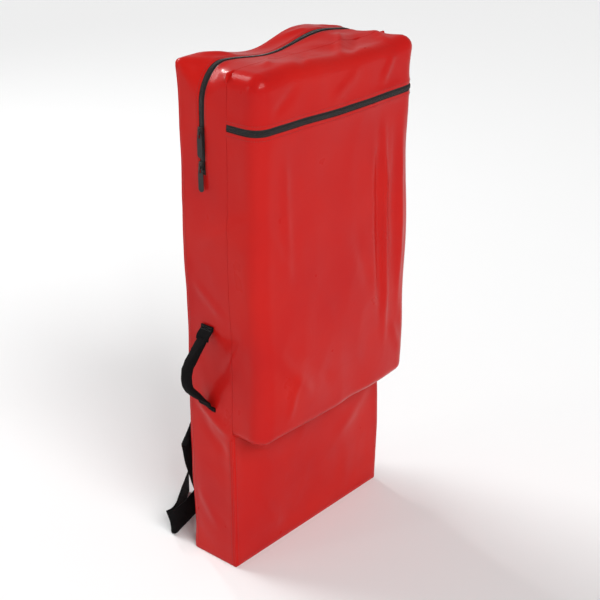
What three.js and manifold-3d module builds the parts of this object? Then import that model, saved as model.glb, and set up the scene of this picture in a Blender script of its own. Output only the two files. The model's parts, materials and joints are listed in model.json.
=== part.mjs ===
// Backpack carry case for a folding spine board, with the folded board inside.
// Millimetres, +Z up. The case stands on its base: the origin is under the middle
// of the board compartment, the harness is on the +Y side, the pocket on -Y.
// Left and right are the wearer's: left is -X.
import * as THREE from 'three';
import { mergeVertices } from 'three/addons/utils/BufferGeometryUtils.js';
import Module from 'manifold-3d';

const wasm = await Module();
wasm.setup();

// ---- driving dimensions ----
const GAP = 0.3; // clearance between neighbouring pieces
const PANEL = 3; // padded vinyl panel
const CASE_WIDTH = 430;
const CASE_DEPTH = 110; // board compartment, front to back
const CASE_HEIGHT = 960;
const CASE_CORNER = 30; // round top corners of the compartment
const FLAP_FOLD = 775; // height at which the rear of the mouth folds back

const POCKET_DEPTH = 70;
const POCKET_BOTTOM = 285;
const POCKET_CORNER = 30; // upright front corners of the pocket
const POCKET_BROW = 22; // round top front edge of the pocket lid
const POCKET_ZIP = 868; // height of the pocket zip

const TAPE_WIDTH = 6; // one half of a zip
const TAPE_THICKNESS = 2;
const SLIDER_LENGTH = 14;
const UPPER_SLIDER = 852; // heights of the two sliders of the main zip
const LOWER_SLIDER = 792;
const PULL_LENGTH = 44;
const PULL_WIDTH = 12;

const WEBBING = 2.6; // thickness of the 50 mm webbing
const WIDE_WEBBING = 50;
const NARROW_WEBBING = 25;
const NARROW_THICKNESS = 1.8;
const STRAP_LEFT = -35; // middle of each shoulder strap across the back
const STRAP_RIGHT = 91;
const STRAP_TOP = 716;
const STRAP_END = 262;
const ANCHOR_HEIGHT = 742;

const HANDLE_TOP = 474;
const HANDLE_BOTTOM = 346;
const HANDLE_REACH = 56; // how far the carry handle stands off the side
const HANDLE_WIDTH = 32;

const BOARD_WIDTH = 406;
const BOARD_LENGTH = 905; // folded
const BOARD_THICKNESS = 44; // each half
const BOARD_BASE = 12; // height of the folded board's lower end
const BOARD_SPLIT = 4; // space between the two halves
const HAND_HOLE_LENGTH = 130;
const HAND_HOLE_WIDTH = 34;
const HAND_HOLE_HEIGHTS = [200, 460, 720];

const BACK = CASE_DEPTH / 2;
const SIDE = CASE_WIDTH / 2;
const POCKET_FRONT = -BACK - POCKET_DEPTH;

// ---- materials ----
function finish(colour, roughness, metalness = 0) {
  return { color: colour, roughness, metalness };
}

const RED_VINYL = finish('#c8281f', 0.32);
const BLACK_WEBBING = finish('#121113', 0.85);
const ZIP_TAPE = finish('#1c1413', 0.8);
const ZIP_METAL = finish('#4a4744', 0.4, 0.9);
const PULL_TAB = finish('#221c1a', 0.6);
const BLACK_PLASTIC = finish('#2a292c', 0.45);
const BOARD_PLASTIC = finish('#d9a41c', 0.5);
const STEEL = finish('#9a9c9f', 0.35, 1);

// ---- solids ----
const model = new THREE.Group();

function add(name, geometry, look, parent = model) {
  const mesh = new THREE.Mesh(geometry, new THREE.MeshStandardMaterial(look));
  mesh.name = name;
  parent.add(mesh);
  return mesh;
}

function merged(geometry) {
  geometry.deleteAttribute('normal');
  geometry.deleteAttribute('uv');
  return mergeVertices(geometry, 1e-4);
}

function solid(geometry) {
  const clean = merged(geometry.clone());
  const mesh = new wasm.Mesh({
    numProp: 3,
    vertProperties: new Float32Array(clean.attributes.position.array),
    triVerts: new Uint32Array(clean.index.array),
  });
  return new wasm.Manifold(mesh);
}

function geometryOf(manifold) {
  const mesh = manifold.getMesh();
  const geometry = new THREE.BufferGeometry();
  geometry.setAttribute('position', new THREE.BufferAttribute(mesh.vertProperties, 3));
  geometry.setIndex(new THREE.BufferAttribute(mesh.triVerts, 1));
  geometry.computeVertexNormals();
  return geometry;
}

function box(x0, x1, y0, y1, z0, z1) {
  const geometry = new THREE.BoxGeometry(x1 - x0, y1 - y0, z1 - z0);
  return geometry.translate((x0 + x1) / 2, (y0 + y1) / 2, (z0 + z1) / 2);
}

function extrude(shape, depth, segments = 6) {
  return new THREE.ExtrudeGeometry(shape, {
    depth,
    bevelEnabled: false,
    curveSegments: segments,
  });
}

// A shape drawn in X and Z, made solid from y0 to y1.
function upright(shape, y0, y1) {
  return extrude(shape, y1 - y0).rotateX(Math.PI / 2).translate(0, y1, 0);
}

// A shape drawn in X and Y, made solid from z0 to z1.
function level(shape, z0, z1) {
  return extrude(shape, z1 - z0).translate(0, 0, z0);
}

// A shape drawn in Y and Z, made solid from x0 to x1.
function sideways(shape, x0, x1) {
  const turn = new THREE.Matrix4().makeBasis(
    new THREE.Vector3(0, 1, 0),
    new THREE.Vector3(0, 0, 1),
    new THREE.Vector3(1, 0, 0),
  );
  return extrude(shape, x1 - x0).applyMatrix4(turn).translate(x0, 0, 0);
}

// Outlines run anticlockwise, as a shape with holes needs.
function polygon(points) {
  const corners = points.map(([x, y]) => new THREE.Vector2(x, y));
  if (THREE.ShapeUtils.isClockWise(corners)) {
    corners.reverse();
  }
  return new THREE.Shape(corners);
}

function rounded(width, height, radius, rise = 0) {
  const w = width / 2 - radius;
  const h = height / 2 - radius;
  const shape = new THREE.Shape();
  shape.absarc(w, rise - h, radius, -Math.PI / 2, 0);
  shape.absarc(w, rise + h, radius, 0, Math.PI / 2);
  shape.absarc(-w, rise + h, radius, Math.PI / 2, Math.PI);
  shape.absarc(-w, rise - h, radius, Math.PI, Math.PI * 1.5);
  return shape;
}

// A hoop open at one end: up one side, round two corners and down the other.
// The opening is at `foot`, the closed end at `head`, which may be below it.
function hoop(half, foot, head, radius, thickness) {
  const way = Math.sign(head - foot);
  const shape = new THREE.Shape();
  const turn = Math.PI / 2;
  const inner = radius - thickness;
  const centre = head - way * radius;
  shape.moveTo(-half, foot);
  shape.lineTo(-half, centre);
  shape.absarc(-half + radius, centre, radius, Math.PI, way * turn, way > 0);
  shape.absarc(half - radius, centre, radius, way * turn, 0, way > 0);
  shape.lineTo(half, foot);
  shape.lineTo(half - thickness, foot);
  shape.lineTo(half - thickness, centre);
  shape.absarc(half - radius, centre, inner, 0, way * turn, way < 0);
  shape.absarc(-half + radius, centre, inner, way * turn, Math.PI, way < 0);
  shape.lineTo(-half + thickness, foot);
  return shape;
}

// A flat strap laid along a smooth curve. Its width lies across the curve and
// `facing`, the direction that the flat of the strap looks in.
function strap(points, width, thickness, facing, steps) {
  const curve = new THREE.CatmullRomCurve3(points.map((p) => new THREE.Vector3(...p)));
  const geometry = new THREE.BoxGeometry(width, 1, thickness, 1, steps, 1);
  const place = geometry.attributes.position;
  const face = new THREE.Vector3(...facing);
  for (let i = 0; i < place.count; i += 1) {
    const along = THREE.MathUtils.clamp(place.getY(i) + 0.5, 0, 1);
    const tangent = curve.getTangentAt(along);
    const across = new THREE.Vector3().crossVectors(tangent, face).normalize();
    const normal = new THREE.Vector3().crossVectors(across, tangent);
    const point = curve.getPointAt(along);
    point.addScaledVector(across, place.getX(i));
    point.addScaledVector(normal, place.getZ(i));
    place.setXYZ(i, point.x, point.y, point.z);
  }
  return merged(geometry);
}

function cylinder(radius, length, sides = 16) {
  return new THREE.CylinderGeometry(radius, radius, length, sides).rotateZ(Math.PI / 2);
}

// ---- board compartment ----
function roundTopped(half, foot, head, radius) {
  const shape = new THREE.Shape();
  shape.moveTo(-half, foot);
  shape.lineTo(half, foot);
  shape.lineTo(half, head - radius);
  shape.absarc(half - radius, head - radius, radius, 0, Math.PI / 2);
  shape.absarc(-half + radius, head - radius, radius, Math.PI / 2, Math.PI);
  return shape;
}

function addCompartment() {
  const inside = BACK - PANEL - GAP;
  const low = PANEL + GAP;
  const front = roundTopped(SIDE, low, CASE_HEIGHT, CASE_CORNER);
  add('board_panel', upright(front, -BACK, -BACK + PANEL), RED_VINYL);
  add('back_panel', box(-SIDE, SIDE, BACK - PANEL, BACK, low, FLAP_FOLD), RED_VINYL);
  add('bottom_panel', box(-SIDE, SIDE, -BACK, BACK, 0, PANEL), RED_VINYL);
  for (const [name, x0] of [['left', -SIDE], ['right', SIDE - PANEL]]) {
    const gusset = box(x0, x0 + PANEL, -inside, inside, low, FLAP_FOLD - GAP);
    add(`side_gusset_${name}`, gusset, RED_VINYL);
  }
  const hood = hoop(SIDE, FLAP_FOLD + GAP, CASE_HEIGHT, CASE_CORNER, PANEL);
  add('mouth_gusset', upright(hood, -inside, -TAPE_WIDTH - GAP), RED_VINYL);
  const tape = hoop(SIDE, FLAP_FOLD + GAP, CASE_HEIGHT, CASE_CORNER, TAPE_THICKNESS);
  add('main_zip_front_tape', upright(tape, -TAPE_WIDTH, -GAP), ZIP_TAPE);
}

// ---- rear flap of the mouth ----
function addFlap() {
  const low = FLAP_FOLD + 2 * GAP;
  const inside = BACK - PANEL - GAP;
  const back = roundTopped(SIDE, low, CASE_HEIGHT, CASE_CORNER);
  add('flap_back_panel', upright(back, BACK - PANEL, BACK), RED_VINYL);
  const hood = hoop(SIDE, low, CASE_HEIGHT, CASE_CORNER, PANEL);
  add('flap_gusset', upright(hood, TAPE_WIDTH + GAP, inside), RED_VINYL);
  const tape = hoop(SIDE, low, CASE_HEIGHT, CASE_CORNER, TAPE_THICKNESS);
  add('main_zip_rear_tape', upright(tape, GAP, TAPE_WIDTH), ZIP_TAPE);
}

// ---- front pocket ----
function pocketPlan(inset) {
  const half = SIDE - inset;
  const front = POCKET_FRONT + inset;
  const radius = POCKET_CORNER - inset;
  const rear = -BACK - 2 * GAP;
  const shape = new THREE.Shape();
  shape.moveTo(-half, rear);
  shape.lineTo(-half, front + radius);
  shape.absarc(-half + radius, front + radius, radius, Math.PI, Math.PI * 1.5);
  shape.absarc(half - radius, front + radius, radius, Math.PI * 1.5, Math.PI * 2);
  shape.lineTo(half, rear);
  return shape;
}

function pocketSide() {
  const rear = -BACK - GAP;
  const corner = SIDE - POCKET_CORNER;
  const bend = POCKET_FRONT + POCKET_CORNER;
  const inner = POCKET_CORNER - PANEL;
  const shape = new THREE.Shape();
  shape.moveTo(SIDE, rear);
  shape.lineTo(SIDE - PANEL, rear);
  shape.lineTo(SIDE - PANEL, bend);
  shape.absarc(corner, bend, inner, 0, -Math.PI / 2, true);
  shape.lineTo(corner, POCKET_FRONT);
  shape.absarc(corner, bend, POCKET_CORNER, -Math.PI / 2, 0);
  const low = POCKET_BOTTOM + PANEL + GAP;
  return level(shape, low, POCKET_ZIP - TAPE_WIDTH - GAP);
}

function addPocket() {
  const corner = SIDE - POCKET_CORNER - GAP;
  const low = POCKET_BOTTOM + PANEL + GAP;
  const zip = POCKET_ZIP;
  const face = [-corner, corner, POCKET_FRONT, POCKET_FRONT + PANEL];
  add('pocket_front_panel', box(...face, low, zip - TAPE_WIDTH - GAP), RED_VINYL);
  add('pocket_side_right', pocketSide(), RED_VINYL);
  add('pocket_side_left', mirrored(pocketSide()), RED_VINYL);
  const floor = level(pocketPlan(0), POCKET_BOTTOM, POCKET_BOTTOM + PANEL);
  add('pocket_bottom', floor, RED_VINYL);
  const band = hoop(SIDE, -BACK - 2 * GAP, POCKET_FRONT, POCKET_CORNER, TAPE_THICKNESS);
  add('pocket_zip_lower_tape', level(band, zip - TAPE_WIDTH, zip - GAP), ZIP_TAPE);
  add('pocket_zip_upper_tape', level(band, zip + GAP, zip + TAPE_WIDTH), ZIP_TAPE);
  add('pocket_lid', pocketLid(), RED_VINYL);
}

// Mirror across the YZ plane, keeping the faces outward.
function mirrored(geometry) {
  const clean = merged(geometry);
  const place = clean.attributes.position;
  for (let i = 0; i < place.count; i += 1) {
    place.setX(i, -place.getX(i));
  }
  const corners = clean.index.array;
  for (let i = 0; i < corners.length; i += 3) {
    [corners[i], corners[i + 1]] = [corners[i + 1], corners[i]];
  }
  return clean;
}

function lidBlock(inset, low) {
  const top = CASE_HEIGHT - inset;
  const front = POCKET_FRONT + inset;
  const rear = -BACK - 2 * GAP;
  const brow = POCKET_BROW - inset;
  const profile = new THREE.Shape();
  profile.moveTo(rear, low);
  profile.lineTo(rear, top);
  profile.absarc(front + brow, top - brow, brow, Math.PI / 2, Math.PI);
  profile.lineTo(front, low);
  const plan = level(pocketPlan(inset), low, CASE_HEIGHT + 1);
  const along = sideways(profile, -SIDE, SIDE);
  return solid(plan).intersect(solid(along));
}

function pocketLid() {
  const low = POCKET_ZIP + TAPE_WIDTH + GAP;
  const shell = lidBlock(0, low).subtract(lidBlock(PANEL, low - 5));
  return geometryOf(shell);
}

// ---- zip sliders ----
// Drawn with the zip running along Y and the outside of the case towards +Z.
const SLIDER_FACE = 0.3;
const SLIDER_TOP = 4.3;
const PULL_PIVOT = [-2.2, 6]; // along the zip, and out from it

function slider() {
  const half = SLIDER_LENGTH / 2;
  const outline = polygon([
    [-3.2, -half], [3.2, -half], [5.2, 1], [5.2, half], [-5.2, half], [-5.2, 1],
  ]);
  const body = level(outline, SLIDER_FACE, SLIDER_TOP);
  const arch = polygon([[-5, 4], [-5, 9], [5, 9], [5, 4]]);
  const window = polygon([[-3.5, 4.6], [-3.5, 7.4], [3.5, 7.4], [3.5, 4.6]]);
  arch.holes.push(window);
  return geometryOf(solid(body).add(solid(sideways(arch, -1.2, 1.2))));
}

// The pull hangs from its rim, a bar 1.6 mm square that sits inside the arch.
function pull() {
  const rim = 0.8;
  const half = PULL_WIDTH / 2;
  const [along, out] = PULL_PIVOT;
  const outline = new THREE.Shape();
  outline.moveTo(-4, rim);
  outline.lineTo(-half, -14);
  outline.lineTo(-half, -PULL_LENGTH + half);
  outline.absarc(0, -PULL_LENGTH + half, half, Math.PI, Math.PI * 2);
  outline.lineTo(half, -14);
  outline.lineTo(4, rim);
  outline.holes.push(polygon([[-2, -rim], [-2, -10], [2, -10], [2, -rim]]));
  return level(outline, -rim, rim).translate(0, along, out);
}

function addSlider(name, group) {
  add(`${name}_slider`, slider(), ZIP_METAL, group);
  add(`${name}_pull`, pull(), PULL_TAB, group);
  model.add(group);
}

function addSliders() {
  // On the left side gusset the zip runs upwards and faces -X.
  const upwards = new THREE.Matrix4().makeBasis(
    new THREE.Vector3(0, 1, 0).negate(),
    new THREE.Vector3(0, 0, 1),
    new THREE.Vector3(-1, 0, 0),
  );
  for (const [name, height] of [['main_upper', UPPER_SLIDER], ['main_lower', LOWER_SLIDER]]) {
    const group = new THREE.Group();
    group.quaternion.setFromRotationMatrix(upwards);
    group.position.set(-SIDE, 0, height);
    addSlider(name, group);
  }
  // On the right side of the pocket it runs forwards and faces +X.
  const forwards = new THREE.Matrix4().makeBasis(
    new THREE.Vector3(0, 0, 1),
    new THREE.Vector3(0, -1, 0),
    new THREE.Vector3(1, 0, 0),
  );
  const group = new THREE.Group();
  group.quaternion.setFromRotationMatrix(forwards);
  group.position.set(SIDE, -BACK - 12, POCKET_ZIP);
  addSlider('pocket', group);
}

// ---- carry handle on the left side ----
function addHandle() {
  const stand = 14; // where the strap leaves its sewn ends
  const middle = (HANDLE_TOP + HANDLE_BOTTOM) / 2;
  const face = -SIDE - stand;
  const reach = -SIDE - HANDLE_REACH;
  const route = [
    [face, 0, HANDLE_TOP],
    [face - 22, 0, HANDLE_TOP - 24],
    [reach, 0, middle + 18],
    [reach, 0, middle - 18],
    [face - 22, 0, HANDLE_BOTTOM + 24],
    [face, 0, HANDLE_BOTTOM],
  ];
  add('side_handle', strap(route, 24, 7, [-1, 0, 0], 24), BLACK_WEBBING);
  for (const [name, z, way] of [['top', HANDLE_TOP, 1], ['bottom', HANDLE_BOTTOM, -1]]) {
    const tab = polygon([
      [-SIDE - GAP, z + way * 19],
      [-SIDE - GAP, z + way * 3],
      [face - 3, z + way * 3],
      [face - 3, z + way * 6],
      [-SIDE - 4, z + way * 16],
      [-SIDE - 4, z + way * 19],
    ]);
    const y = HANDLE_WIDTH / 2;
    add(`handle_tab_${name}`, upright(tab, -y, y), BLACK_WEBBING);
  }
}

// ---- shoulder harness ----
const STRAP_LIE = BACK + GAP + WEBBING / 2; // middle of webbing flat on the back

function shoulderStrap(x, drift) {
  const lie = STRAP_LIE + 0.5;
  const route = [
    [x, lie, STRAP_TOP - 2],
    [x, lie + 3, 620],
    [x + drift * 0.1, lie + 10, 500],
    [x + drift * 0.5, lie + 18, 390],
    [x + drift * 0.9, lie + 19, 310],
    [x + drift, lie + 16, STRAP_END],
  ];
  return strap(route, WIDE_WEBBING, WEBBING, [0, 1, 0], 16);
}

function ladderLock() {
  const outline = rounded(38, 36, 5);
  for (const rise of [9, -9]) {
    outline.holes.push(rounded(28, 7, 1, rise));
  }
  return upright(outline, -3, 3);
}

const LOCK_DROP = 22; // middle of a ladder lock below the end of its strap

function addShoulder(name, x, drift) {
  const parts = new THREE.Group();
  add(`shoulder_strap_${name}`, shoulderStrap(x, drift), BLACK_WEBBING);
  const lock = add(`ladder_lock_${name}`, ladderLock(), BLACK_PLASTIC, parts);
  lock.position.set(x + drift, STRAP_LIE + 16, STRAP_END - LOCK_DROP);
  model.add(parts);
  const foot = x + drift * 0.4;
  const route = [
    [x + drift, STRAP_LIE + 15, STRAP_END - 45],
    [x + drift * 0.8, STRAP_LIE + 13, 170],
    [foot, STRAP_LIE + 9, 100],
    [foot, STRAP_LIE + 5, 40],
    [foot, STRAP_LIE + 4, 26],
  ];
  const lower = strap(route, NARROW_WEBBING, NARROW_THICKNESS, [0, 1, 0], 12);
  add(`lower_strap_${name}`, lower, BLACK_WEBBING);
  const half = NARROW_WEBBING / 2 + 3;
  const tab = box(foot - half, foot + half, BACK + GAP, BACK + 6, 3, 24);
  add(`lower_anchor_${name}`, tab, BLACK_WEBBING);
}

function addAnchors() {
  const half = WIDE_WEBBING / 2;
  const z = ANCHOR_HEIGHT;
  const flat = [BACK + GAP, BACK + GAP + WEBBING];
  const over = [flat[1] + GAP, flat[1] + GAP + WEBBING];
  add('anchor_strip_right', box(22, 126, ...flat, z - half, z + half), BLACK_WEBBING);
  const left = box(-104, 34, ...over, z - half + 4, z + half + 4);
  add('anchor_strip_left', left, BLACK_WEBBING);
}

// ---- waist belt ----
function addBelt() {
  const centre = [
    [-204, BACK + 10, 256],
    [-182, BACK + 15, 268],
    [-120, BACK + 25, 278],
    [STRAP_LEFT, BACK + 30, 285],
    [STRAP_RIGHT, BACK + 31, 294],
    [196, BACK + 27, 296],
    [232, BACK + 26, 284],
    [252, BACK + 26, 262],
  ];
  const face = [0, 1, 0];
  add('belt_centre', strap(centre, WIDE_WEBBING, WEBBING, face, 22), BLACK_WEBBING);
}

// The right end hangs down the back edge to the socket half of the buckle.
function addRightEnd() {
  const y = BACK + 31;
  const route = [
    [246, y, 246],
    [232, y, 214],
    [212, y, 180],
    [204, y + 1, 140],
    [203, y + 2, 62],
  ];
  const face = [0, 1, 0];
  const hanging = strap(route, WIDE_WEBBING, WEBBING, face, 14);
  add('belt_right_end', hanging, BLACK_WEBBING);
  const socket = add('buckle_socket', buckleSocket(), BLACK_PLASTIC);
  socket.position.set(203, y + 2, 31);
}

// A flat box, open below for the prongs and at both sides for the latches.
function buckleSocket() {
  const shell = solid(upright(rounded(60, 50, 7), -7, 7));
  const mouth = solid(box(-22, 22, -3.6, 3.6, -26, 12));
  const windows = solid(box(-40, 40, -3.6, 3.6, -12, 4));
  const slot = solid(box(-26, 26, -8, 8, 17, 20.5));
  return geometryOf(shell.subtract(mouth).subtract(windows).subtract(slot));
}

// The left end drops from the corner, turns back through the prong half of the
// buckle, and its tail stands on edge on the ground behind the case.
const TAIL_MIDDLE = WIDE_WEBBING / 2 + 0.6;

function addLeftEnd() {
  const face = [0, 1, 0];
  const drop = [
    [-196, BACK + 16, 222],
    [-184, BACK + 24, 182],
    [-162, BACK + 36, 130],
    [-138, BACK + 42, 82],
  ];
  add('belt_left_end', strap(drop, WIDE_WEBBING, WEBBING, face, 12), BLACK_WEBBING);
  const back = [
    [-150, BACK + 50, 54],
    [-176, BACK + 52, 40],
    [-206, BACK + 56, 32],
  ];
  add('belt_return', strap(back, WIDE_WEBBING, WEBBING, face, 8), BLACK_WEBBING);
  const tail = [
    [-220, BACK + 66, TAIL_MIDDLE],
    [-190, BACK + 78, TAIL_MIDDLE],
    [-140, BACK + 112, TAIL_MIDDLE],
    [-84, BACK + 150, TAIL_MIDDLE],
  ];
  const tailStrap = strap(tail, WIDE_WEBBING, WEBBING, [-0.6, 0.8, 0], 12);
  add('belt_tail', tailStrap, BLACK_WEBBING);
  const prongs = add('buckle_prongs', buckleProngs(), BLACK_PLASTIC);
  prongs.position.set(-116, BACK + 50, 62);
  prongs.rotation.y = -0.7;
}

// Two latching prongs and a guide between them, with a bar for the webbing.
function buckleProngs() {
  const outline = polygon([
    [-29, 12], [-29, -4], [-21, -8], [-23, -22], [-18, -30], [-13, -26], [-14, -6],
    [-5, -6], [-4, -30], [4, -30], [5, -6],
    [14, -6], [13, -26], [18, -30], [23, -22], [21, -8], [29, -4], [29, 12],
  ]);
  outline.holes.push(polygon([[-25, 3], [-25, 8], [25, 8], [25, 3]]));
  return upright(outline, -3, 3);
}

// ---- folding board ----
function boardHalf() {
  const outline = rounded(BOARD_WIDTH, BOARD_LENGTH, 45);
  const inset = BOARD_WIDTH / 2 - HAND_HOLE_WIDTH / 2 - 24;
  for (const height of HAND_HOLE_HEIGHTS) {
    for (const way of [-1, 1]) {
      outline.holes.push(handHole(way * inset, height));
    }
  }
  return outline;
}

function handHole(x, height) {
  const z = height - BOARD_BASE - BOARD_LENGTH / 2;
  const radius = HAND_HOLE_WIDTH / 2;
  const reach = HAND_HOLE_LENGTH / 2 - radius;
  const hole = new THREE.Path();
  hole.absarc(x, z + reach, radius, 0, Math.PI);
  hole.absarc(x, z - reach, radius, Math.PI, Math.PI * 2);
  return hole;
}

function addBoard() {
  const middle = BOARD_BASE + BOARD_LENGTH / 2;
  const near = BOARD_SPLIT / 2;
  const far = near + BOARD_THICKNESS;
  for (const [name, y0, y1] of [['head', near, far], ['foot', -far, -near]]) {
    const half = upright(boardHalf(), y0, y1).translate(0, 0, middle);
    add(`board_${name}_half`, half, BOARD_PLASTIC);
  }
  for (const [name, x] of [['left', -110], ['right', 110]]) {
    addHinge(name, x);
  }
}

// A butt hinge across the upper ends of the two halves.
function addHinge(name, x) {
  const top = BOARD_BASE + BOARD_LENGTH + GAP;
  const axis = top + 7;
  const half = 30;
  const third = half / 3;
  const pin = cylinder(3, 2 * half + 4).translate(x, 0, axis);
  const leaves = [
    ['head', 1, [[-half, -third], [third, half]]],
    ['foot', -1, [[-third + GAP, third - GAP]]],
  ];
  for (const [side, way, knuckles] of leaves) {
    const [y0, y1] = [7 * way, 34 * way].sort((a, b) => a - b);
    let leaf = solid(box(x - half, x + half, y0, y1, top, top + 2.5));
    for (const [from, to] of knuckles) {
      const barrel = cylinder(6.5, to - from).translate(x + (from + to) / 2, 0, axis);
      const [w0, w1] = [0, 9 * way].sort((a, b) => a - b);
      const web = box(x + from, x + to, w0, w1, top, top + 5);
      leaf = leaf.add(solid(barrel)).add(solid(web));
    }
    const bore = cylinder(3 + GAP, 2 * half + 10).translate(x, 0, axis);
    add(`hinge_leaf_${side}_${name}`, geometryOf(leaf.subtract(solid(bore))), STEEL);
  }
  add(`hinge_pin_${name}`, pin, STEEL);
}

addCompartment();
addFlap();
addPocket();
addSliders();
addHandle();
addAnchors();
addShoulder('left', STRAP_LEFT, 8);
addShoulder('right', STRAP_RIGHT, 34);
addBelt();
addRightEnd();
addLeftEnd();
addBoard();

export default model;
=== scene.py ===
import json
import math

import bmesh
import bpy
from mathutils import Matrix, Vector, noise

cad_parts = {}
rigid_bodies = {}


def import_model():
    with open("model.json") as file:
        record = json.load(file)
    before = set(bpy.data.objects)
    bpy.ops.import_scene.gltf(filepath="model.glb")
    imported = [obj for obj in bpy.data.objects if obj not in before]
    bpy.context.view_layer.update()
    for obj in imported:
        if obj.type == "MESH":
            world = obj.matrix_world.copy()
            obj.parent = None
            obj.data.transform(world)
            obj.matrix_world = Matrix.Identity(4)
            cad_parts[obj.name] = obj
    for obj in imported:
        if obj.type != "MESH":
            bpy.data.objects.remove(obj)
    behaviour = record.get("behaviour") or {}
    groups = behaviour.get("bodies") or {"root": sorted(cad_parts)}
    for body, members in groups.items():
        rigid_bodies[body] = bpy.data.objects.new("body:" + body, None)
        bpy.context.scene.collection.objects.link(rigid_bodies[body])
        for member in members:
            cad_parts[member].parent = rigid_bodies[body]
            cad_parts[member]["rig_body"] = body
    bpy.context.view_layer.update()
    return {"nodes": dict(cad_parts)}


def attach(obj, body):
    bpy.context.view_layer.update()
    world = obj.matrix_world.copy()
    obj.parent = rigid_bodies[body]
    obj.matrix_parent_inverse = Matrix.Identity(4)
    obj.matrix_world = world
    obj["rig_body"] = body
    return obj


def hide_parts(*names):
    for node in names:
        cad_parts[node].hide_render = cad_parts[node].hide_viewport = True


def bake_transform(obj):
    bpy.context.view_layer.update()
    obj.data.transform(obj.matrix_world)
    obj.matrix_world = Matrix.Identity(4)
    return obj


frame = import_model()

noise.seed_set(1)  # noise_vector takes its offsets from the clock unless it is seeded

# ---- sizes of the case, in metres ----
SIDE = 0.215
BACK = 0.055
TOP = 0.960
EDGE = 0.007  # round of the sewn edges
MITRE = 0.293  # 1 less the cosine of 45 degrees
EDGE_LINE = MITRE * EDGE  # where two panels meet, in from the square corner
FLAP_FOLD = 0.7753
CORNER_REACH = 0.060  # room that the round top corners take
SHARP_CORNER = 0.0085  # round of a top corner at the back panel
SOFT_CORNER = 0.058  # round of the same corner under the zip
ZIP_EDGE = 0.0064  # where the vinyl stops beside a zip
VINYL = 0.0013

POCKET_REAR = -0.0556
POCKET_FRONT = -0.125
POCKET_CORNER = 0.030
POCKET_FOOT = 0.285
POCKET_ZIP = 0.868
POCKET_ROUND = 0.018  # round along the pocket's lower edge
BROW = 0.028  # round along the top edges of the lid

WIDE = 0.050
NARROW = 0.025
WEBBING = 0.0026
THIN_WEBBING = 0.0018

BODY_OF = {n: o["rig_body"] for n, o in frame["nodes"].items()}

# ---- the lie of the slack vinyl ----
# Each hump or hollow: where it is, how far it spreads, and how it pushes the vinyl.
SAGS = [
    ((-0.165, 0.050, 0.960), (0.050, 0.045, 0.055), (0.000, 0.001, 0.009)),
    ((-0.030, 0.050, 0.965), (0.060, 0.050, 0.060), (0.000, -0.002, -0.011)),
    ((0.095, 0.030, 0.965), (0.070, 0.055, 0.070), (0.000, 0.003, 0.013)),
    ((0.215, 0.055, 0.960), (0.050, 0.045, 0.050), (-0.004, 0.000, -0.007)),
    ((-0.215, 0.060, 0.965), (0.030, 0.035, 0.035), (-0.003, 0.003, 0.003)),
    ((-0.060, -0.020, 0.965), (0.060, 0.045, 0.050), (0.000, 0.000, -0.006)),
    ((0.060, -0.085, 0.965), (0.100, 0.030, 0.040), (0.000, 0.000, -0.005)),
    ((-0.120, -0.100, 0.955), (0.070, 0.035, 0.040), (0.000, -0.003, 0.003)),
    ((0.200, -0.115, 0.945), (0.030, 0.030, 0.030), (0.002, -0.003, 0.004)),
    ((0.060, 0.058, 0.860), (0.120, 0.040, 0.070), (0.000, 0.007, 0.000)),
    ((-0.110, 0.058, 0.890), (0.070, 0.040, 0.040), (0.000, -0.004, 0.000)),
    ((0.000, 0.056, 0.480), (0.180, 0.020, 0.220), (0.000, 0.002, 0.000)),
    ((0.000, -0.127, 0.480), (0.190, 0.060, 0.260), (0.000, -0.007, 0.000)),
    ((-0.100, -0.127, 0.380), (0.100, 0.060, 0.090), (0.000, -0.004, 0.000)),
    ((0.020, -0.127, 0.868), (0.170, 0.030, 0.030), (0.000, -0.004, -0.003)),
    ((-0.217, -0.070, 0.600), (0.020, 0.060, 0.170), (-0.003, 0.000, 0.000)),
    ((0.217, -0.060, 0.560), (0.020, 0.070, 0.220), (0.004, 0.000, 0.000)),
    ((-0.217, 0.000, 0.190), (0.020, 0.060, 0.100), (-0.002, 0.000, 0.000)),
    ((0.217, 0.000, 0.200), (0.020, 0.060, 0.100), (0.003, 0.000, 0.000)),
    ((0.000, -0.057, 0.150), (0.180, 0.020, 0.090), (0.000, -0.002, 0.000)),
]
SPENT = 8.0  # a sag is felt out to this much of its spread, squared

WAVE = 0.0032  # wander of whole edges and panels
WAVE_SCALE = 6.0
SMALL_WAVE = 0.0010
SMALLER = 2.7  # how much finer the small wander is
RIPPLE = 0.0032  # rise and fall of the vinyl between its seams
RIPPLE_SCALE = Vector((9.0, 9.0, 6.0))
CRINKLE = 0.0026  # sharper creases
CRINKLE_SCALE = Vector((13.0, 13.0, 8.0))
PUCKER = 0.0008  # small gathers along the seams
PUCKER_DEPTH = 0.016
PUCKER_SCALE = 42.0
PUCKER_START = 0.006  # gathers begin this far from the stitching
SEAM_FADE = 0.028
GROUND_HOLD = 0.060  # the foot of the case keeps its shape up to here
# The zip sliders sit here, so the vinyl keeps its place: where, and how far round.
HELD = [
    (Vector((-SIDE, 0.0, 0.850)), 0.045),
    (Vector((-SIDE, 0.0, 0.790)), 0.045),
    (Vector((SIDE, -0.067, 0.868)), 0.040),
]

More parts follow.
